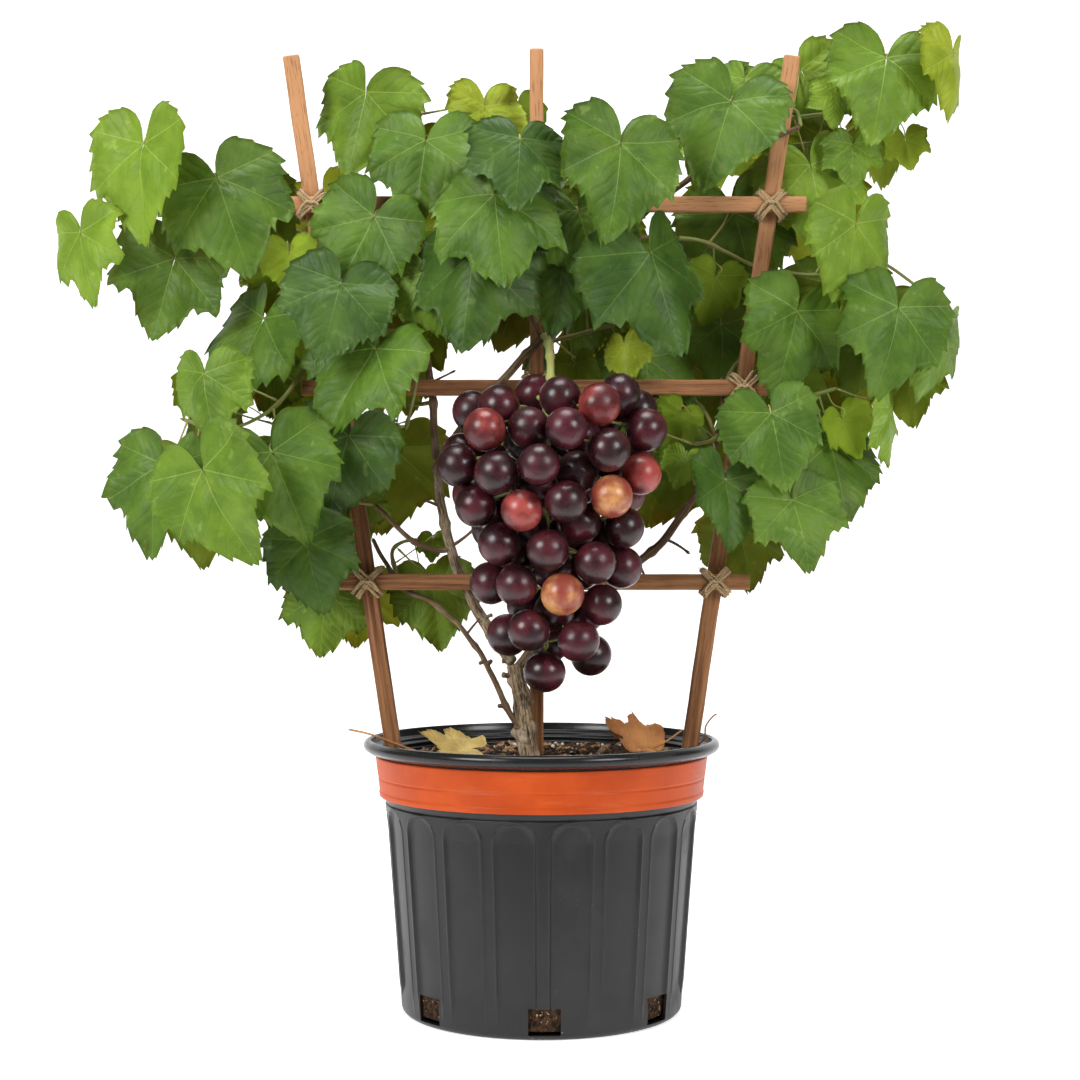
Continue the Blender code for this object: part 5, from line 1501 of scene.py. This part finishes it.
# %% Leaf finishes
def leaf_finish(name, dark, light, vein, upper):
    """A blade's finish from three colours; veins are pale lines that sink above and stand out below."""
    leaf = Finish(name, Roughness=0.55 if upper else 0.68, Specular_IOR_Level=0.24 if upper else 0.16,
                  Subsurface_Weight=0.06, Subsurface_Scale=0.002)
    centred = leaf.node("VectorMath", {0: leaf.surface(), 1: (0.5, 0.3, 0.0)}, operation="SUBTRACT")
    flat = leaf.node("VectorMath", {0: centred, 3: 2.0}, operation="SCALE")
    across, along, _ = leaf.split(flat)
    reach = leaf.node("VectorMath", {0: flat}, output=1, operation="LENGTH")
    angle = leaf.math("ARCTAN2", leaf.math("ABSOLUTE", across), along)
    nearest = leaf.math("ABSOLUTE", angle)
    for main in VEIN_ANGLES[1:]:
        nearest = leaf.math("MINIMUM", nearest, leaf.math("ABSOLUTE", leaf.math("SUBTRACT", angle, main)))
    aside = leaf.times(reach, leaf.math("SINE", nearest))
    ahead = leaf.times(reach, leaf.math("COSINE", nearest))
    width = leaf.spread(ahead, 0.0, 0.95, 0.0085, 0.0022)
    main_vein = leaf.spread(leaf.math("DIVIDE", aside, width), 1.0, 0.35)
    wobble = leaf.times(leaf.noise(flat, 4.0, 1.0), 0.16)
    ladder = leaf.math("ADD", leaf.math("SUBTRACT", ahead, aside), wobble)
    off_line = leaf.math("PINGPONG", ladder, 0.068)
    side_vein = leaf.times(leaf.spread(off_line, 0.0034, 0.0008), leaf.spread(aside, 0.36, 0.02, 0.06, 0.50))
    net = leaf.cells(flat, 24.0, "DISTANCE_TO_EDGE")
    net_vein = leaf.times(leaf.spread(net, 0.05, 0.01), 0.16)
    veins = leaf.math("MAXIMUM", main_vein, leaf.math("MAXIMUM", side_vein, net_vein))
    puff = leaf.spread(off_line, 0.0, 0.05)
    blotch = leaf.noise(leaf.solid(), 38.0, 4.0)
    fine = leaf.noise(leaf.solid(), 420.0, 3.0)
    base = leaf.mix(leaf.spread(blotch, 0.34, 0.66), dark, light)
    base = leaf.mix(leaf.times(fine, 0.22), base, dark)
    base = leaf.mix(leaf.spread(leaf.noise(leaf.solid(), 95.0, 3.0), 0.62, 0.74, 0.0, 0.35), base, vein)
    leaf.colour(leaf.mix(leaf.times(veins, 0.50 if upper else 0.62), base, vein))
    leaf.roughness(leaf.spread(fine, 0.3, 0.7, 0.44 if upper else 0.60, 0.56 if upper else 0.72))
    leaf.relief(puff, 0.0006, 0.4 if upper else -0.4)
    leaf.relief(veins, 0.0004, -0.7 if upper else 0.9)
    leaf.relief(fine, 0.00014, 0.4)
    return leaf.done()


# The shaded and bright tones are darker and paler copies of the green: painted shade and painted light for
# leaves that sit in shade or catch the light.
LEAF_TONES = {
    "shaded": ((0.026, 0.067, 0.006), (0.058, 0.122, 0.013), (0.160, 0.248, 0.060)),
    "deep": ((0.048, 0.111, 0.007), (0.098, 0.185, 0.016), (0.250, 0.355, 0.078)),
    "green": ((0.076, 0.152, 0.007), (0.139, 0.242, 0.017), (0.315, 0.430, 0.086)),
    "brightly_lit": ((0.125, 0.225, 0.012), (0.205, 0.330, 0.026), (0.370, 0.480, 0.110)),
    "yellow": ((0.200, 0.270, 0.010), (0.310, 0.380, 0.024), (0.450, 0.500, 0.110)),
}
UNDERSIDES = {
    "shaded": ((0.060, 0.105, 0.005), (0.105, 0.165, 0.011), (0.210, 0.290, 0.050)),
    "deep": ((0.085, 0.140, 0.006), (0.140, 0.210, 0.014), (0.280, 0.360, 0.060)),
    "green": ((0.105, 0.170, 0.006), (0.165, 0.245, 0.014), (0.310, 0.400, 0.060)),
    "brightly_lit": ((0.150, 0.240, 0.008), (0.230, 0.320, 0.018), (0.390, 0.470, 0.080)),
    "yellow": ((0.220, 0.280, 0.008), (0.320, 0.380, 0.020), (0.460, 0.500, 0.100)),
}
leaf_materials = []
for _tone, _colours in LEAF_TONES.items():
    leaf_materials.append(leaf_finish(f"leaf_{_tone}_upper", *_colours, upper=True))
    leaf_materials.append(leaf_finish(f"leaf_{_tone}_under", *UNDERSIDES[_tone], upper=False))
print(len(leaf_materials), "leaf finishes")

# %% Make the leaves
TONES = "SDGBY"
TONE_SHARES = (0.14, 0.40, 0.30, 0.12, 0.04)
YOUNG_TONES = (2, 3, 4)
YOUNG_SHARES = (0.55, 0.37, 0.08)
# The leaves that show in front, by the first letters of shaded, deep, green, bright and yellow; S is painted
# shade and B painted light.
TONES_SEEN = {
    "upper_left": "DDDBB", "left_top": "DDGY", "left_middle": "DS", "left_inner": "S", "lower_left": "DDGG",
    "centre_top": "SSDDS", "centre_right": "SD", "right_top": "DBGGY", "right_peak": "BB",
    "right_middle": "DDBDG", "right": "DB", "lower_right": "DD", "low_inner": "GB", "right_inner": "SG",
}

for _name, _growth in grown.items():
    _shape = Shape()
    _rng = np.random.default_rng(SHOOTS[_name]["seed"] + 200)
    _seen = TONES_SEEN.get(_name.removeprefix("shoot_"), "")
    for _index, _leaf in enumerate(_growth["leaves"]):
        _drawn = int(_rng.choice(5, p=TONE_SHARES))
        _tone = TONES.index(_seen[_index]) if _index < len(_seen) else _drawn
        add_blade(_shape, _leaf, TEETH, 9, _tone, _rng)
    for _leaf in _growth["young"]:
        add_blade(_shape, _leaf, 9, 5, int(_rng.choice(YOUNG_TONES, p=YOUNG_SHARES)), _rng)
    _shape.piece(_name.replace("shoot", "leaves"), leaf_materials, [_name], "vine_leaf")


# %% [markdown]
# ## Green stems, petioles and tendrils
# This year's growth is still green, flushed red on the sunny side. Stems swell where a leaf leaves
# them, and petioles thicken at both ends. A vine also climbs by tendrils, thin threads that run out and
# then coil.


# %% Green stem finish
def stem_finish(name, green, red):
    stem = Finish(name, Roughness=0.55, Specular_IOR_Level=0.35)
    around = stem.wrap_round(60.0)
    streak = stem.streaks(around, (2.5, 2.5, 0.25), 3.0)
    drift = stem.noise(stem.solid(), 22.0, 2.0)
    flush = stem.times(stem.spread(streak, 0.35, 0.7), stem.spread(drift, 0.36, 0.62))
    stem.colour(stem.mix(flush, green, red))
    stem.relief(streak, 0.00025, 0.5)
    return stem.done()


green_stem = stem_finish("stem_green", (0.210, 0.260, 0.060), (0.260, 0.110, 0.050))
petiole_stem = stem_finish("stem_petiole", (0.300, 0.340, 0.090), (0.330, 0.120, 0.060))
tendril_stem = stem_finish("stem_tendril", (0.340, 0.360, 0.110), (0.380, 0.200, 0.080))

# %% Make the stems
STEM_FINE_STEP = 0.0022


def add_stem(shape, growth):
    """A shoot's stem, with a swelling of 35% where each leaf leaves it."""
    path = smooth_route(growth["route"], STEM_FINE_STEP)
    shares = lengths_along(path)
    radius = np.interp(shares, lengths_along(growth["route"]), growth["radii"])
    for leaf in growth["leaves"] + growth["young"]:
        away = np.linalg.norm(path - leaf["root"], axis=1)
        radius = radius * (1 + 0.35 * np.exp(-(away / 0.0028) ** 2))
    add_tube(shape, path, rounded_ends(path, radius, 0.0015), 12)


def add_petiole(shape, leaf, thick):
    """A petiole from the stem's middle to the blade's seat, thicker at both ends."""
    path = smooth_route(petiole_route(leaf), 0.0020)
    shares = lengths_along(path)
    swelling = 0.80 + 0.45 * np.exp(-(shares / 0.12) ** 2)
    radius = thick * (swelling + 0.25 * np.exp(-((1 - shares) / 0.07) ** 2))
    add_tube(shape, path, rounded_ends(path, radius, thick), 8)


stem_shape, petiole_shape = Shape(), Shape()
for _growth in grown.values():
    add_stem(stem_shape, _growth)
    for _leaf in _growth["leaves"]:
        add_petiole(petiole_shape, _leaf, 0.00085)
    for _leaf in _growth["young"]:
        add_petiole(petiole_shape, _leaf, 0.00055)
stem_shape.piece("shoot_stems", [green_stem], list(SHOOTS), "vine_bark")
petiole_shape.piece("petioles", [petiole_stem], list(SHOOTS), "vine_leaf")

# %% Make the tendrils
TENDRILS = (
    ("shoot_upper_left", 0.45), ("shoot_left_top", 0.30), ("shoot_lower_left", 0.55),
    ("shoot_centre_top", 0.65), ("shoot_right_top", 0.55), ("shoot_right_middle", 0.45),
    ("shoot_right", 0.60), ("shoot_rear_left", 0.50), ("shoot_rear_top", 0.60),
    ("shoot_rear_right", 0.50), ("shoot_rear_upper_left", 0.55),
)


def tendril_path(start, way, rng):
    """A run straight out that then coils: s + w l, and beyond 55% of it a helix whose radius shrinks."""
    t = np.linspace(0, 1, 90)[:, None]
    side = unit(np.cross(way, rng.normal(size=3)))
    up = np.cross(way, side)
    coil = np.clip((t - 0.55) / 0.45, 0, 1)
    turn = coil * math.tau * 2.5
    radius = 0.0026 * np.sqrt(coil) * (1 - 0.45 * coil)
    sag = np.array([0.0, 0.0, -1.0]) * t ** 2 * 0.006
    return start + way * 0.030 * (t - 0.25 * coil) + radius * around_axis(turn[:, 0], side, up) + sag


tendril_shape = Shape()
_rng = np.random.default_rng(301)
for _name, _share in TENDRILS:
    _start, _way = place_along(grown[_name]["route"], _share)
    _facing = facing_at(SHOOTS[_name], False, _rng)
    _out = unit(np.cross(_way, _facing) + _way * 0.6 + _rng.normal(size=3) * 0.2)
    _path = tendril_path(_start, _out, _rng)
    add_tube(tendril_shape, _path, np.linspace(0.00055, 0.00028, len(_path)), 6)
tendril_shape.piece("tendrils", [tendril_stem], [], "vine_leaf")

# %% [markdown]
# ## The bunch
# Muscadine grapes hang in an open bunch of large round berries, each on its own short pedicel from the
# rachis. The solids place them in rings that are pushed apart until they only just clear, and the same
# steps here give the same centres. A berry is a globe a little flattened, with a dimple at its stem and a
# small scar opposite. Most are ripe and almost black; a few are still red or bronze.

# %% Where the berries are
BERRY_RADIUS = 0.015
BUNCH_AXIS = (0.003, -0.066)
FRONT_BERRIES = np.array([
    (-38, -104, 412), (-30, -77, 428), (-7, -97, 413), (16, -109, 413), (14, -80, 432), (38, -102, 428),
    (54, -71, 435), (71, -79, 411), (45, -106, 398), (-57, -87, 388), (-29, -109, 383), (-3, -114, 388),
    (22, -86, 386), (68, -83, 384), (47, -101, 367), (-44, -86, 360), (-13, -107, 358), (16, -108, 364),
    (27, -77, 348), (55, -80, 346), (-29, -87, 337), (4, -102, 331), (36, -95, 323), (51, -60, 320),
    (-33, -63, 309), (-17, -94, 307), (14, -94, 301), (41, -71, 294), (-22, -57, 275), (-8, -87, 277),
    (25, -83, 270), (33, -48, 261), (2, -73, 247)
]) / 1000
BACK_MIDDLE = 0.007
BACK_ROWS = ((0.424, 0.050, 0.040, 6), (0.397, 0.056, 0.046, 6), (0.370, 0.051, 0.044, 5),
             (0.344, 0.042, 0.038, 4), (0.318, 0.032, 0.032, 3), (0.291, 0.025, 0.026, 2),
             (0.266, 0.010, 0.018, 1))
CORE_ROWS = ((0.408, 0.020, 3), (0.376, 0.022, 3), (0.345, 0.014, 2), (0.315, 0.0, 1), (0.289, 0.0, 1))
FRONT_EASE = (0.3, 1.0, 0.3)
BERRY_JITTER = 0.006
BUNCH_SEED = 5
PEDUNCLE = ((0.001, -0.0115, 0.4835), (0.004, -0.022, 0.481), (0.006, -0.042, 0.466),
            (0.006, -0.060, 0.450), (0.004, -0.066, 0.420), (0.003, -0.066, 0.330),
            (0.003, -0.066, 0.262))
PEDUNCLE_RADII = (0.0028, 0.0016)


def berry_centres():
    """All the berries' middles; the ones that show from the front give way mostly in depth."""
    rng = np.random.default_rng(BUNCH_SEED)
    places = [FRONT_BERRIES]
    for height, wide, deep, count in BACK_ROWS:
        angle = math.pi / 2 + (np.arange(count) + 0.5 + rng.uniform(-0.2, 0.2, count)) * math.pi / count
        places.append(np.column_stack([
            BACK_MIDDLE + wide * np.sin(angle),
            BUNCH_AXIS[1] - deep * np.cos(angle),
            height + rng.uniform(-BERRY_JITTER, BERRY_JITTER, count)]))
    for height, wide, count in CORE_ROWS:
        angle = (np.arange(count) + rng.uniform(0, 1)) * math.tau / count
        places.append(np.column_stack([
            BACK_MIDDLE + wide * np.sin(angle),
            BUNCH_AXIS[1] - wide * np.cos(angle),
            np.full(count, height)]))
    centres = np.vstack(places)
    ease = np.ones_like(centres)
    ease[:len(FRONT_BERRIES)] = FRONT_EASE
    least = 2 * BERRY_RADIUS + GAP
    for _ in range(400):
        way = centres[:, None] - centres[None]
        apart = np.linalg.norm(way, axis=2) + np.eye(len(centres))
        push = np.clip(least - apart, 0, None) * (1 - np.eye(len(centres)))
        centres = centres + 0.25 * ease * (way / apart[:, :, None] * push[:, :, None]).sum(axis=1)
    return centres


# %% [markdown]
# ### Grape skins
# A ripe skin is nearly black with a red cast, glossy under a thin waxy bloom that scatters the light,
# and dotted with pale pores. A berry still turning is mottled, paler where it has been in shade.


# %% Grape skins
def grape_finish(name, deep, pale, bloom_share, patches):
    """Two colours of flesh mottled together, a waxy bloom over them, and pores."""
    skin = Finish(name, Roughness=0.32, Specular_IOR_Level=0.46)
    where = skin.solid()
    mottle = skin.spread(skin.noise(where, patches, 3.0, 0.55), 0.42, 0.64)
    bloom = skin.spread(skin.noise(where, 90.0, 5.0, 0.7), 0.35, 0.75)
    pore = skin.spread(skin.cells(where, 620.0), 0.20, 0.10)
    base = skin.mix(mottle, deep, pale)
    base = skin.mix(skin.times(bloom, bloom_share), base, (0.260, 0.180, 0.210))
    skin.colour(skin.mix(skin.times(pore, 0.10), base, (0.42, 0.27, 0.17)))
    skin.roughness(skin.spread(bloom, 0.0, 1.0, 0.27, 0.40))
    skin.relief(skin.noise(where, 260.0, 2.0), 0.0001, 0.25)
    return skin.done()


grape_materials = [
    grape_finish("grape_dark", (0.0170, 0.0022, 0.0040), (0.0720, 0.0085, 0.0150), 0.035, 40.0),
    grape_finish("grape_red", (0.0750, 0.0060, 0.0080), (0.3600, 0.0560, 0.0450), 0.05, 34.0),
    grape_finish("grape_bronze", (0.2700, 0.0480, 0.0300), (0.5800, 0.2700, 0.0950), 0.04, 46.0),
]
DARK, RED, BRONZE = range(3)
TURNING = (((-0.040, 0.418), RED), ((0.040, 0.432), RED), ((0.071, 0.385), RED), ((-0.013, 0.361), RED),
           ((0.050, 0.368), BRONZE), ((0.016, 0.301), BRONZE))

# %% Make the berries
def add_berry(shape, centre, radius, towards, slot, rng):
    """A globe r (1 - 0.045 cos^2 p) with a dimple at the stem pole: rings p by columns a, about `towards`."""
    rings, columns = 20, 30
    polar = np.linspace(0, math.pi, rings + 2)[1:-1]
    reach = radius * (1 - 0.045 * np.cos(polar) ** 2 - 0.055 * np.exp(-(polar / 0.22) ** 2))
    reach = reach * (1 - 0.018 * np.exp(-((math.pi - polar) / 0.10) ** 2))
    side = unit(np.cross(towards, rng.normal(size=3)))
    up = np.cross(towards, side)
    ring = around_axis(turns(columns), side, up)
    points = (centre + towards * (np.cos(polar) * reach)[:, None, None]
              + ring[None] * (np.sin(polar) * reach)[:, None, None])
    poles = np.array([centre + towards * radius * 0.90, centre - towards * radius * 0.93])
    add_skin(shape, points[::-1], poles[::-1], slot=slot)


centres = berry_centres()
kinds = np.full(len(centres), DARK)
for (_x, _z), _kind in TURNING:
    _cost = np.hypot(centres[:, 0] - _x, centres[:, 2] - _z) + 0.6 * np.clip(centres[:, 1] + 0.095, 0, None)
    _cost[kinds != DARK] = 1.0
    kinds[int(np.argmin(_cost))] = _kind
berry_shape, pedicel_shape = Shape(), Shape()
_rng = np.random.default_rng(401)
for _centre, _kind in zip(centres, kinds):
    _root_height = max(min(_centre[2] + 0.010, PEDUNCLE[4][2]), PEDUNCLE[-1][2] + 0.002)
    _root = np.array([*BUNCH_AXIS, _root_height])
    _towards = unit(_root + (0.0, 0.0, 0.012) - _centre)
    _size = BERRY_RADIUS * _rng.uniform(0.95, 1.0)
    add_berry(berry_shape, _centre, _size, _towards, int(_kind), _rng)
    _end = _centre + _towards * _size * 0.86
    _middle = (_root + _end) / 2 + np.array([0.0, 0.0, 0.003])
    _path = smooth_route([_root, _middle, _end], 0.002)
    _shares = lengths_along(_path)
    _thick = 0.00085 + 0.0011 * np.exp(-((1 - _shares) / 0.10) ** 2)
    add_tube(pedicel_shape, _path, _thick, 8)
berry_shape.piece("grape_berries", grape_materials, ["grape_bunch"], "grape_skin")

# %% Make the rachis
rachis_stem = stem_finish("stem_rachis", (0.330, 0.400, 0.110), (0.330, 0.250, 0.090))
_path = smooth_route(PEDUNCLE, 0.0012)
_shares = lengths_along(_path)
_stations = distances(_path)
_radius = np.interp(_shares, (0.0, 1.0), PEDUNCLE_RADII)
_radius = _radius * (1 + node_swelling(_stations, 0.024, np.random.default_rng(402), 0.35))
_relief = bark_relief(np.random.default_rng(403), _stations, 24, 0.05)
add_tube(pedicel_shape, _path, rounded_ends(_path, _radius, 0.002), 24, _relief)
pedicel_shape.piece("grape_rachis", [rachis_stem], ["grape_bunch"], "grape_skin")
print(len(centres), "berries,", int((kinds != DARK).sum()), "still turning")

# %% [markdown]
# ## Soil
# Potting mix is dark crumbs of peat and bark with a few white grains of perlite. The surface is a disc
# of rings and angles with a rough height, closed down the pot's wall, where it shows in the drainage
# slots. The loose bits are one base lump, copied by whole arrays with a turn, a size and a squash each.

# %% Soil finish
def soil_finish():
    """Dark and brown crumbs with pale flecks."""
    soil = Finish("soil_peat", Roughness=0.96, Specular_IOR_Level=0.15)
    where = soil.solid()
    crumb = soil.noise(where, 260.0, 6.0, 0.7)
    fleck = soil.spread(soil.noise(where, 420.0, 2.0), 0.64, 0.70)
    base = soil.mix(soil.spread(crumb, 0.38, 0.66), (0.010, 0.006, 0.004), (0.075, 0.040, 0.021))
    soil.colour(soil.mix(fleck, base, (0.42, 0.27, 0.15)))
    soil.relief(crumb, 0.0020, 1.0)
    soil.relief(soil.cells(where, 190.0), 0.0020, 0.7)
    return soil.done()


def lump_finish(name, dark, light, rough):
    lump = Finish(name, Roughness=rough, Specular_IOR_Level=0.2)
    grain = lump.noise(lump.stretched(lump.solid(), (1.0, 1.0, 2.2)), 420.0, 4.0)
    lump.colour(lump.mix(lump.spread(grain, 0.35, 0.65), dark, light))
    lump.relief(grain, 0.0006, 0.8)
    return lump.done()


potting_soil = soil_finish()
bit_materials = [
    lump_finish("bit_bark_dark", (0.022, 0.012, 0.007), (0.095, 0.050, 0.026), 0.92),
    lump_finish("bit_bark_pale", (0.150, 0.080, 0.040), (0.420, 0.260, 0.140), 0.90),
    lump_finish("bit_perlite", (0.480, 0.450, 0.400), (0.780, 0.760, 0.720), 0.85),
]


# %% Make the soil
SOIL_COLUMNS = 240
SOIL_TOP_RINGS = 90


def soil_radius(height):
    """The radius just inside the pot's wall at that height."""
    share = (height - FOOT_ROUNDING) / (BODY_TOP - FOOT_ROUNDING)
    body = FOOT_RADIUS + (BODY_TOP_RADIUS - FOOT_RADIUS) * share
    seat = np.interp(height, (BAND_BOTTOM, BAND_TOP), (SEAT_BOTTOM_RADIUS, SEAT_TOP_RADIUS))
    return np.where(height < BODY_TOP, body, seat) - WALL - 0.0006


def make_soil():
    """Rings from the middle out over the rough top, then down the wall and in again below."""
    rng = np.random.default_rng(501)
    angle = turns(SOIL_COLUMNS)
    top_radius = np.linspace(0.0012, float(soil_radius(np.array(SOIL_TOP))), 90)
    wall_height = np.concatenate([np.linspace(SOIL_TOP - 0.004, 0.028, 10), np.linspace(0.026, 0.006, 16)])
    radius = np.concatenate([top_radius, soil_radius(wall_height), [0.090, 0.0012]])
    height = np.concatenate([np.full(90, SOIL_TOP + SOIL_MOUND * 0.5), wall_height, [FLOOR + 0.0006] * 2])
    points = stacked(radius[:, None] * np.sin(angle), -radius[:, None] * np.cos(angle), height[:, None])
    flat = points.reshape(-1, 3)
    rough = 0.0011 * waves(rng, flat, 0.045, 10) + 0.0007 * waves(rng, flat, 0.013, 14)
    rough = (rough + 0.0004 * waves(rng, flat, 0.005, 16)).reshape(points.shape[:2])
    calm = np.clip((top_radius[-1] - radius[:SOIL_TOP_RINGS]) / 0.004, 0, 1)[:, None]
    points[:SOIL_TOP_RINGS, :, 2] += np.minimum(rough[:SOIL_TOP_RINGS] * calm, 0.0022)
    inward = 1 - 0.010 * np.abs(rough[SOIL_TOP_RINGS:-2] / 0.0015)
    points[90:-2, :, :2] *= inward[..., None]
    shape = Shape()
    add_skin(shape, points[::-1], np.array([[0.0, 0.0, height[-1]], [0.0, 0.0, height[0]]]))
    return shape.piece("soil_mix", [potting_soil], ["soil"], "potting_soil")


make_soil()

# %% Scatter the loose bits
BIT_COUNT = 900


def turned(points, angle, first, second):
    """Each lump's points turned by its own angle from one axis towards another."""
    made = points.copy()
    cosine, sine = np.cos(angle)[:, None], np.sin(angle)[:, None]
    made[..., first] = points[..., first] * cosine - points[..., second] * sine
    made[..., second] = points[..., first] * sine + points[..., second] * cosine
    return made


def scatter_bits():
    """Lumps of 5 by 6 faces: base * size, turned, moved to a place on the soil; all as one array."""
    rng = np.random.default_rng(502)
    rings, columns = 4, 6
    polar = np.linspace(0, math.pi, rings + 2)[1:-1, None]
    angle = turns(columns)
    globe = stacked(np.sin(polar) * np.cos(angle), np.sin(polar) * np.sin(angle), np.cos(polar))
    base = np.vstack([globe.reshape(-1, 3), [(0, 0, 1), (0, 0, -1)]])
    kind = rng.choice(3, BIT_COUNT, p=(0.62, 0.25, 0.13))
    size = np.where(kind[:, None] == 2, rng.uniform(0.0007, 0.0017, (BIT_COUNT, 1)),
                    rng.uniform(0.0008, 0.0030, (BIT_COUNT, 1)) * np.where(kind[:, None] == 1, 1.3, 1.0))
    squash = np.where(kind[:, None] == 2, rng.uniform(0.8, 1.1, (BIT_COUNT, 3)),
                      np.column_stack([rng.uniform(0.9, 2.2, BIT_COUNT), rng.uniform(0.5, 1.0, BIT_COUNT),
                                       rng.uniform(0.25, 0.6, BIT_COUNT)]))
    turn = rng.uniform(0, math.tau, BIT_COUNT)
    tip = rng.normal(0, 0.35, BIT_COUNT)
    rough = 1 + rng.uniform(-0.22, 0.22, (BIT_COUNT, len(base), 1))
    lumps = base[None] * rough * (size * squash)[:, None]
    lumps = turned(turned(lumps, tip, 0, 2), turn, 0, 1)
    reach = np.sqrt(rng.uniform(0.0, 1.0, BIT_COUNT)) * 0.108
    around = rng.uniform(0, math.tau, BIT_COUNT)
    place = np.column_stack([reach * np.cos(around), reach * np.sin(around),
                             np.full(BIT_COUNT, SOIL_TOP + SOIL_MOUND) + size[:, 0] * 0.25])
    points = lumps + place[:, None]
    faces, _ = grid(rings, columns, wrap=True)
    fans = pole_fans(rings, columns)[:, [0, 2, 1]]
    shape = Shape()
    for slot in range(3):
        chosen = points[kind == slot]
        starts = (np.arange(len(chosen)) * len(base))[:, None, None]
        quads = (faces[None, :, ::-1] + starts).reshape(-1, 4)
        caps = (fans[None] + starts).reshape(-1, 3)
        shape.add(chosen, quads, np.zeros((*quads.shape, 2)), slot)
        shape.extend(caps, np.zeros((*caps.shape, 2)), slot)
    return shape.piece("soil_bits", bit_materials, [], "potting_soil")


scatter_bits()

# %% [markdown]
# ## What has fallen into the pot
# Two dead leaves lie inside the rim, one yellow and one curled and brown, with a few bits of dry stem.
# They are the same blade with a far stronger fold and curl, and colours of their own.

# %% Dead leaves
dead_materials = [
    leaf_finish("dead_yellow_upper", (0.480, 0.320, 0.085), (0.720, 0.545, 0.200), (0.70, 0.54, 0.26), True),
    leaf_finish("dead_yellow_under", (0.400, 0.250, 0.070), (0.560, 0.400, 0.140), (0.60, 0.45, 0.20), False),
    leaf_finish("dead_brown_upper", (0.340, 0.125, 0.034), (0.560, 0.260, 0.085), (0.54, 0.29, 0.11), True),
    leaf_finish("dead_brown_under", (0.330, 0.140, 0.050), (0.540, 0.290, 0.120), (0.55, 0.33, 0.15), False),
]


def dead_leaf(joint, along, normal, length, fold, curl, droop):
    """A leaf's measures from its junction, the way to its tip and the way it faces."""
    along, normal = unit(along), unit(normal)
    normal = unit(normal - along * float(along @ normal))
    return dict(joint=np.array(joint), along=along, normal=normal, across=np.cross(along, normal),
                length=length, fold=fold, curl=curl, droop=droop, crumple=0.055, crease=0.55)


DEAD_LEAVES = (
    ((-0.053, -0.020, 0.1895), (-0.99, 0.05, 0.06), (0.05, -0.33, 0.94), 0.034, 0.18, -0.30, 0.15),
    ((0.0745, -0.012, 0.1880), (-0.95, 0.08, 0.22), (0.18, -0.42, 0.89), 0.033, 0.55, -0.45, 0.1),
)
DRY_STALKS = (
    (((0.0765, -0.010, 0.1875), (0.088, -0.006, 0.192), (0.101, -0.004, 0.2005)), 0.0015, 0.0007),
    (((-0.1395, 0.004, 0.2005), (-0.124, 0.000, 0.1975), (-0.108, -0.006, 0.1925),
      (-0.090, -0.010, 0.1862)), 0.0015, 0.0008),
    (((0.112, 0.010, 0.187), (0.118, 0.006, 0.194), (0.119, 0.004, 0.203), (0.124, 0.006, 0.2095),
      (0.127, 0.010, 0.211)), 0.0012, 0.0006),
)
_shape = Shape()
_rng = np.random.default_rng(601)
for _tone, _measures in enumerate(DEAD_LEAVES):
    add_blade(_shape, dead_leaf(*_measures), 12, 7, _tone, _rng)
for _points, _step, _radius in DRY_STALKS:
    add_tube(_shape, smooth_route(_points, _step), _radius, 8, slot=3)
_shape.piece("fallen_bits", dead_materials, [], "vine_leaf")

# %% [markdown]
# ## Floor and light
# The plant stands on a plain pale sweep, a floor that curves up behind it, so that no horizon shows.
# Two soft boxes in front, left and right, give each berry its pair of highlights, a third lights the
# crown from above, and a pale sky fills the shadows.

# %% Studio
SWEEP_GLOW = 0.62


def sweep_finish():
    """Pale, darker in front so that it doesn't light the pot from below, and aglow behind."""
    sweep = Finish("studio_sweep", Roughness=0.9, Emission_Color=(1.0, 1.0, 1.0, 1.0))
    depth = sweep.split(sweep.solid())[1]
    sweep.colour(sweep.mix(sweep.spread(depth, -0.70, -0.28), (0.22, 0.22, 0.22), (0.90, 0.90, 0.90)))
    sweep.set(sweep.shader.inputs["Emission Strength"], sweep.spread(depth, -0.50, -0.22, 0.0, SWEEP_GLOW))
    return sweep.done()


def make_sweep():
    """A floor 10 m wide that turns up behind on a quarter circle of 1.5 m."""
    turn = np.linspace(0, math.pi / 2, 24)
    run = np.concatenate([[-6.0, 2.0], 2.0 + 1.5 * np.sin(turn), [3.5]])
    rise = np.concatenate([[0.0, 0.0], 1.5 - 1.5 * np.cos(turn), [6.0]]) - 0.0002
    points = np.array([[(x, y, z) for x in (-5.0, 5.0)] for y, z in zip(run, rise)])
    faces, _ = grid(len(run), 2)
    mesh = bpy.data.meshes.new("sweep")
    mesh.from_pydata(points.reshape(-1, 3).tolist(), [], faces.tolist())
    mesh.materials.append(sweep_finish())
    mesh.shade_smooth()
    into_scene("sweep", mesh)


def soft_box(name, place, aim, size, watts):
    """A round area light at a place, turned to the point it lights."""
    light = bpy.data.lights.new(name, "AREA")
    light.shape = "DISK"
    light.size = size
    light.energy = watts
    lamp = into_scene(name, light)
    lamp.location = place
    way = unit(np.array(aim) - place)
    lamp.rotation_euler = (math.acos(-way[2]), 0.0, math.atan2(way[0], -way[1]) + math.pi)


make_sweep()
MIDDLE = (0.0, 0.0, 0.40)
soft_box("soft_box_left", (-1.35, -1.45, 1.15), MIDDLE, 1.0, 35.0)
soft_box("soft_box_right", (1.40, -1.50, 1.05), MIDDLE, 0.9, 23.0)
soft_box("soft_box_top", (0.0, -0.2, 2.3), MIDDLE, 1.2, 32.0)
world = bpy.data.worlds.new("studio")
world.use_nodes = True
world.node_tree.nodes["Background"].inputs["Color"].default_value = (1.0, 1.0, 1.0, 1.0)
world.node_tree.nodes["Background"].inputs["Strength"].default_value = 0.20
bpy.context.scene.world = world
bpy.context.scene.view_settings.view_transform = "Standard"
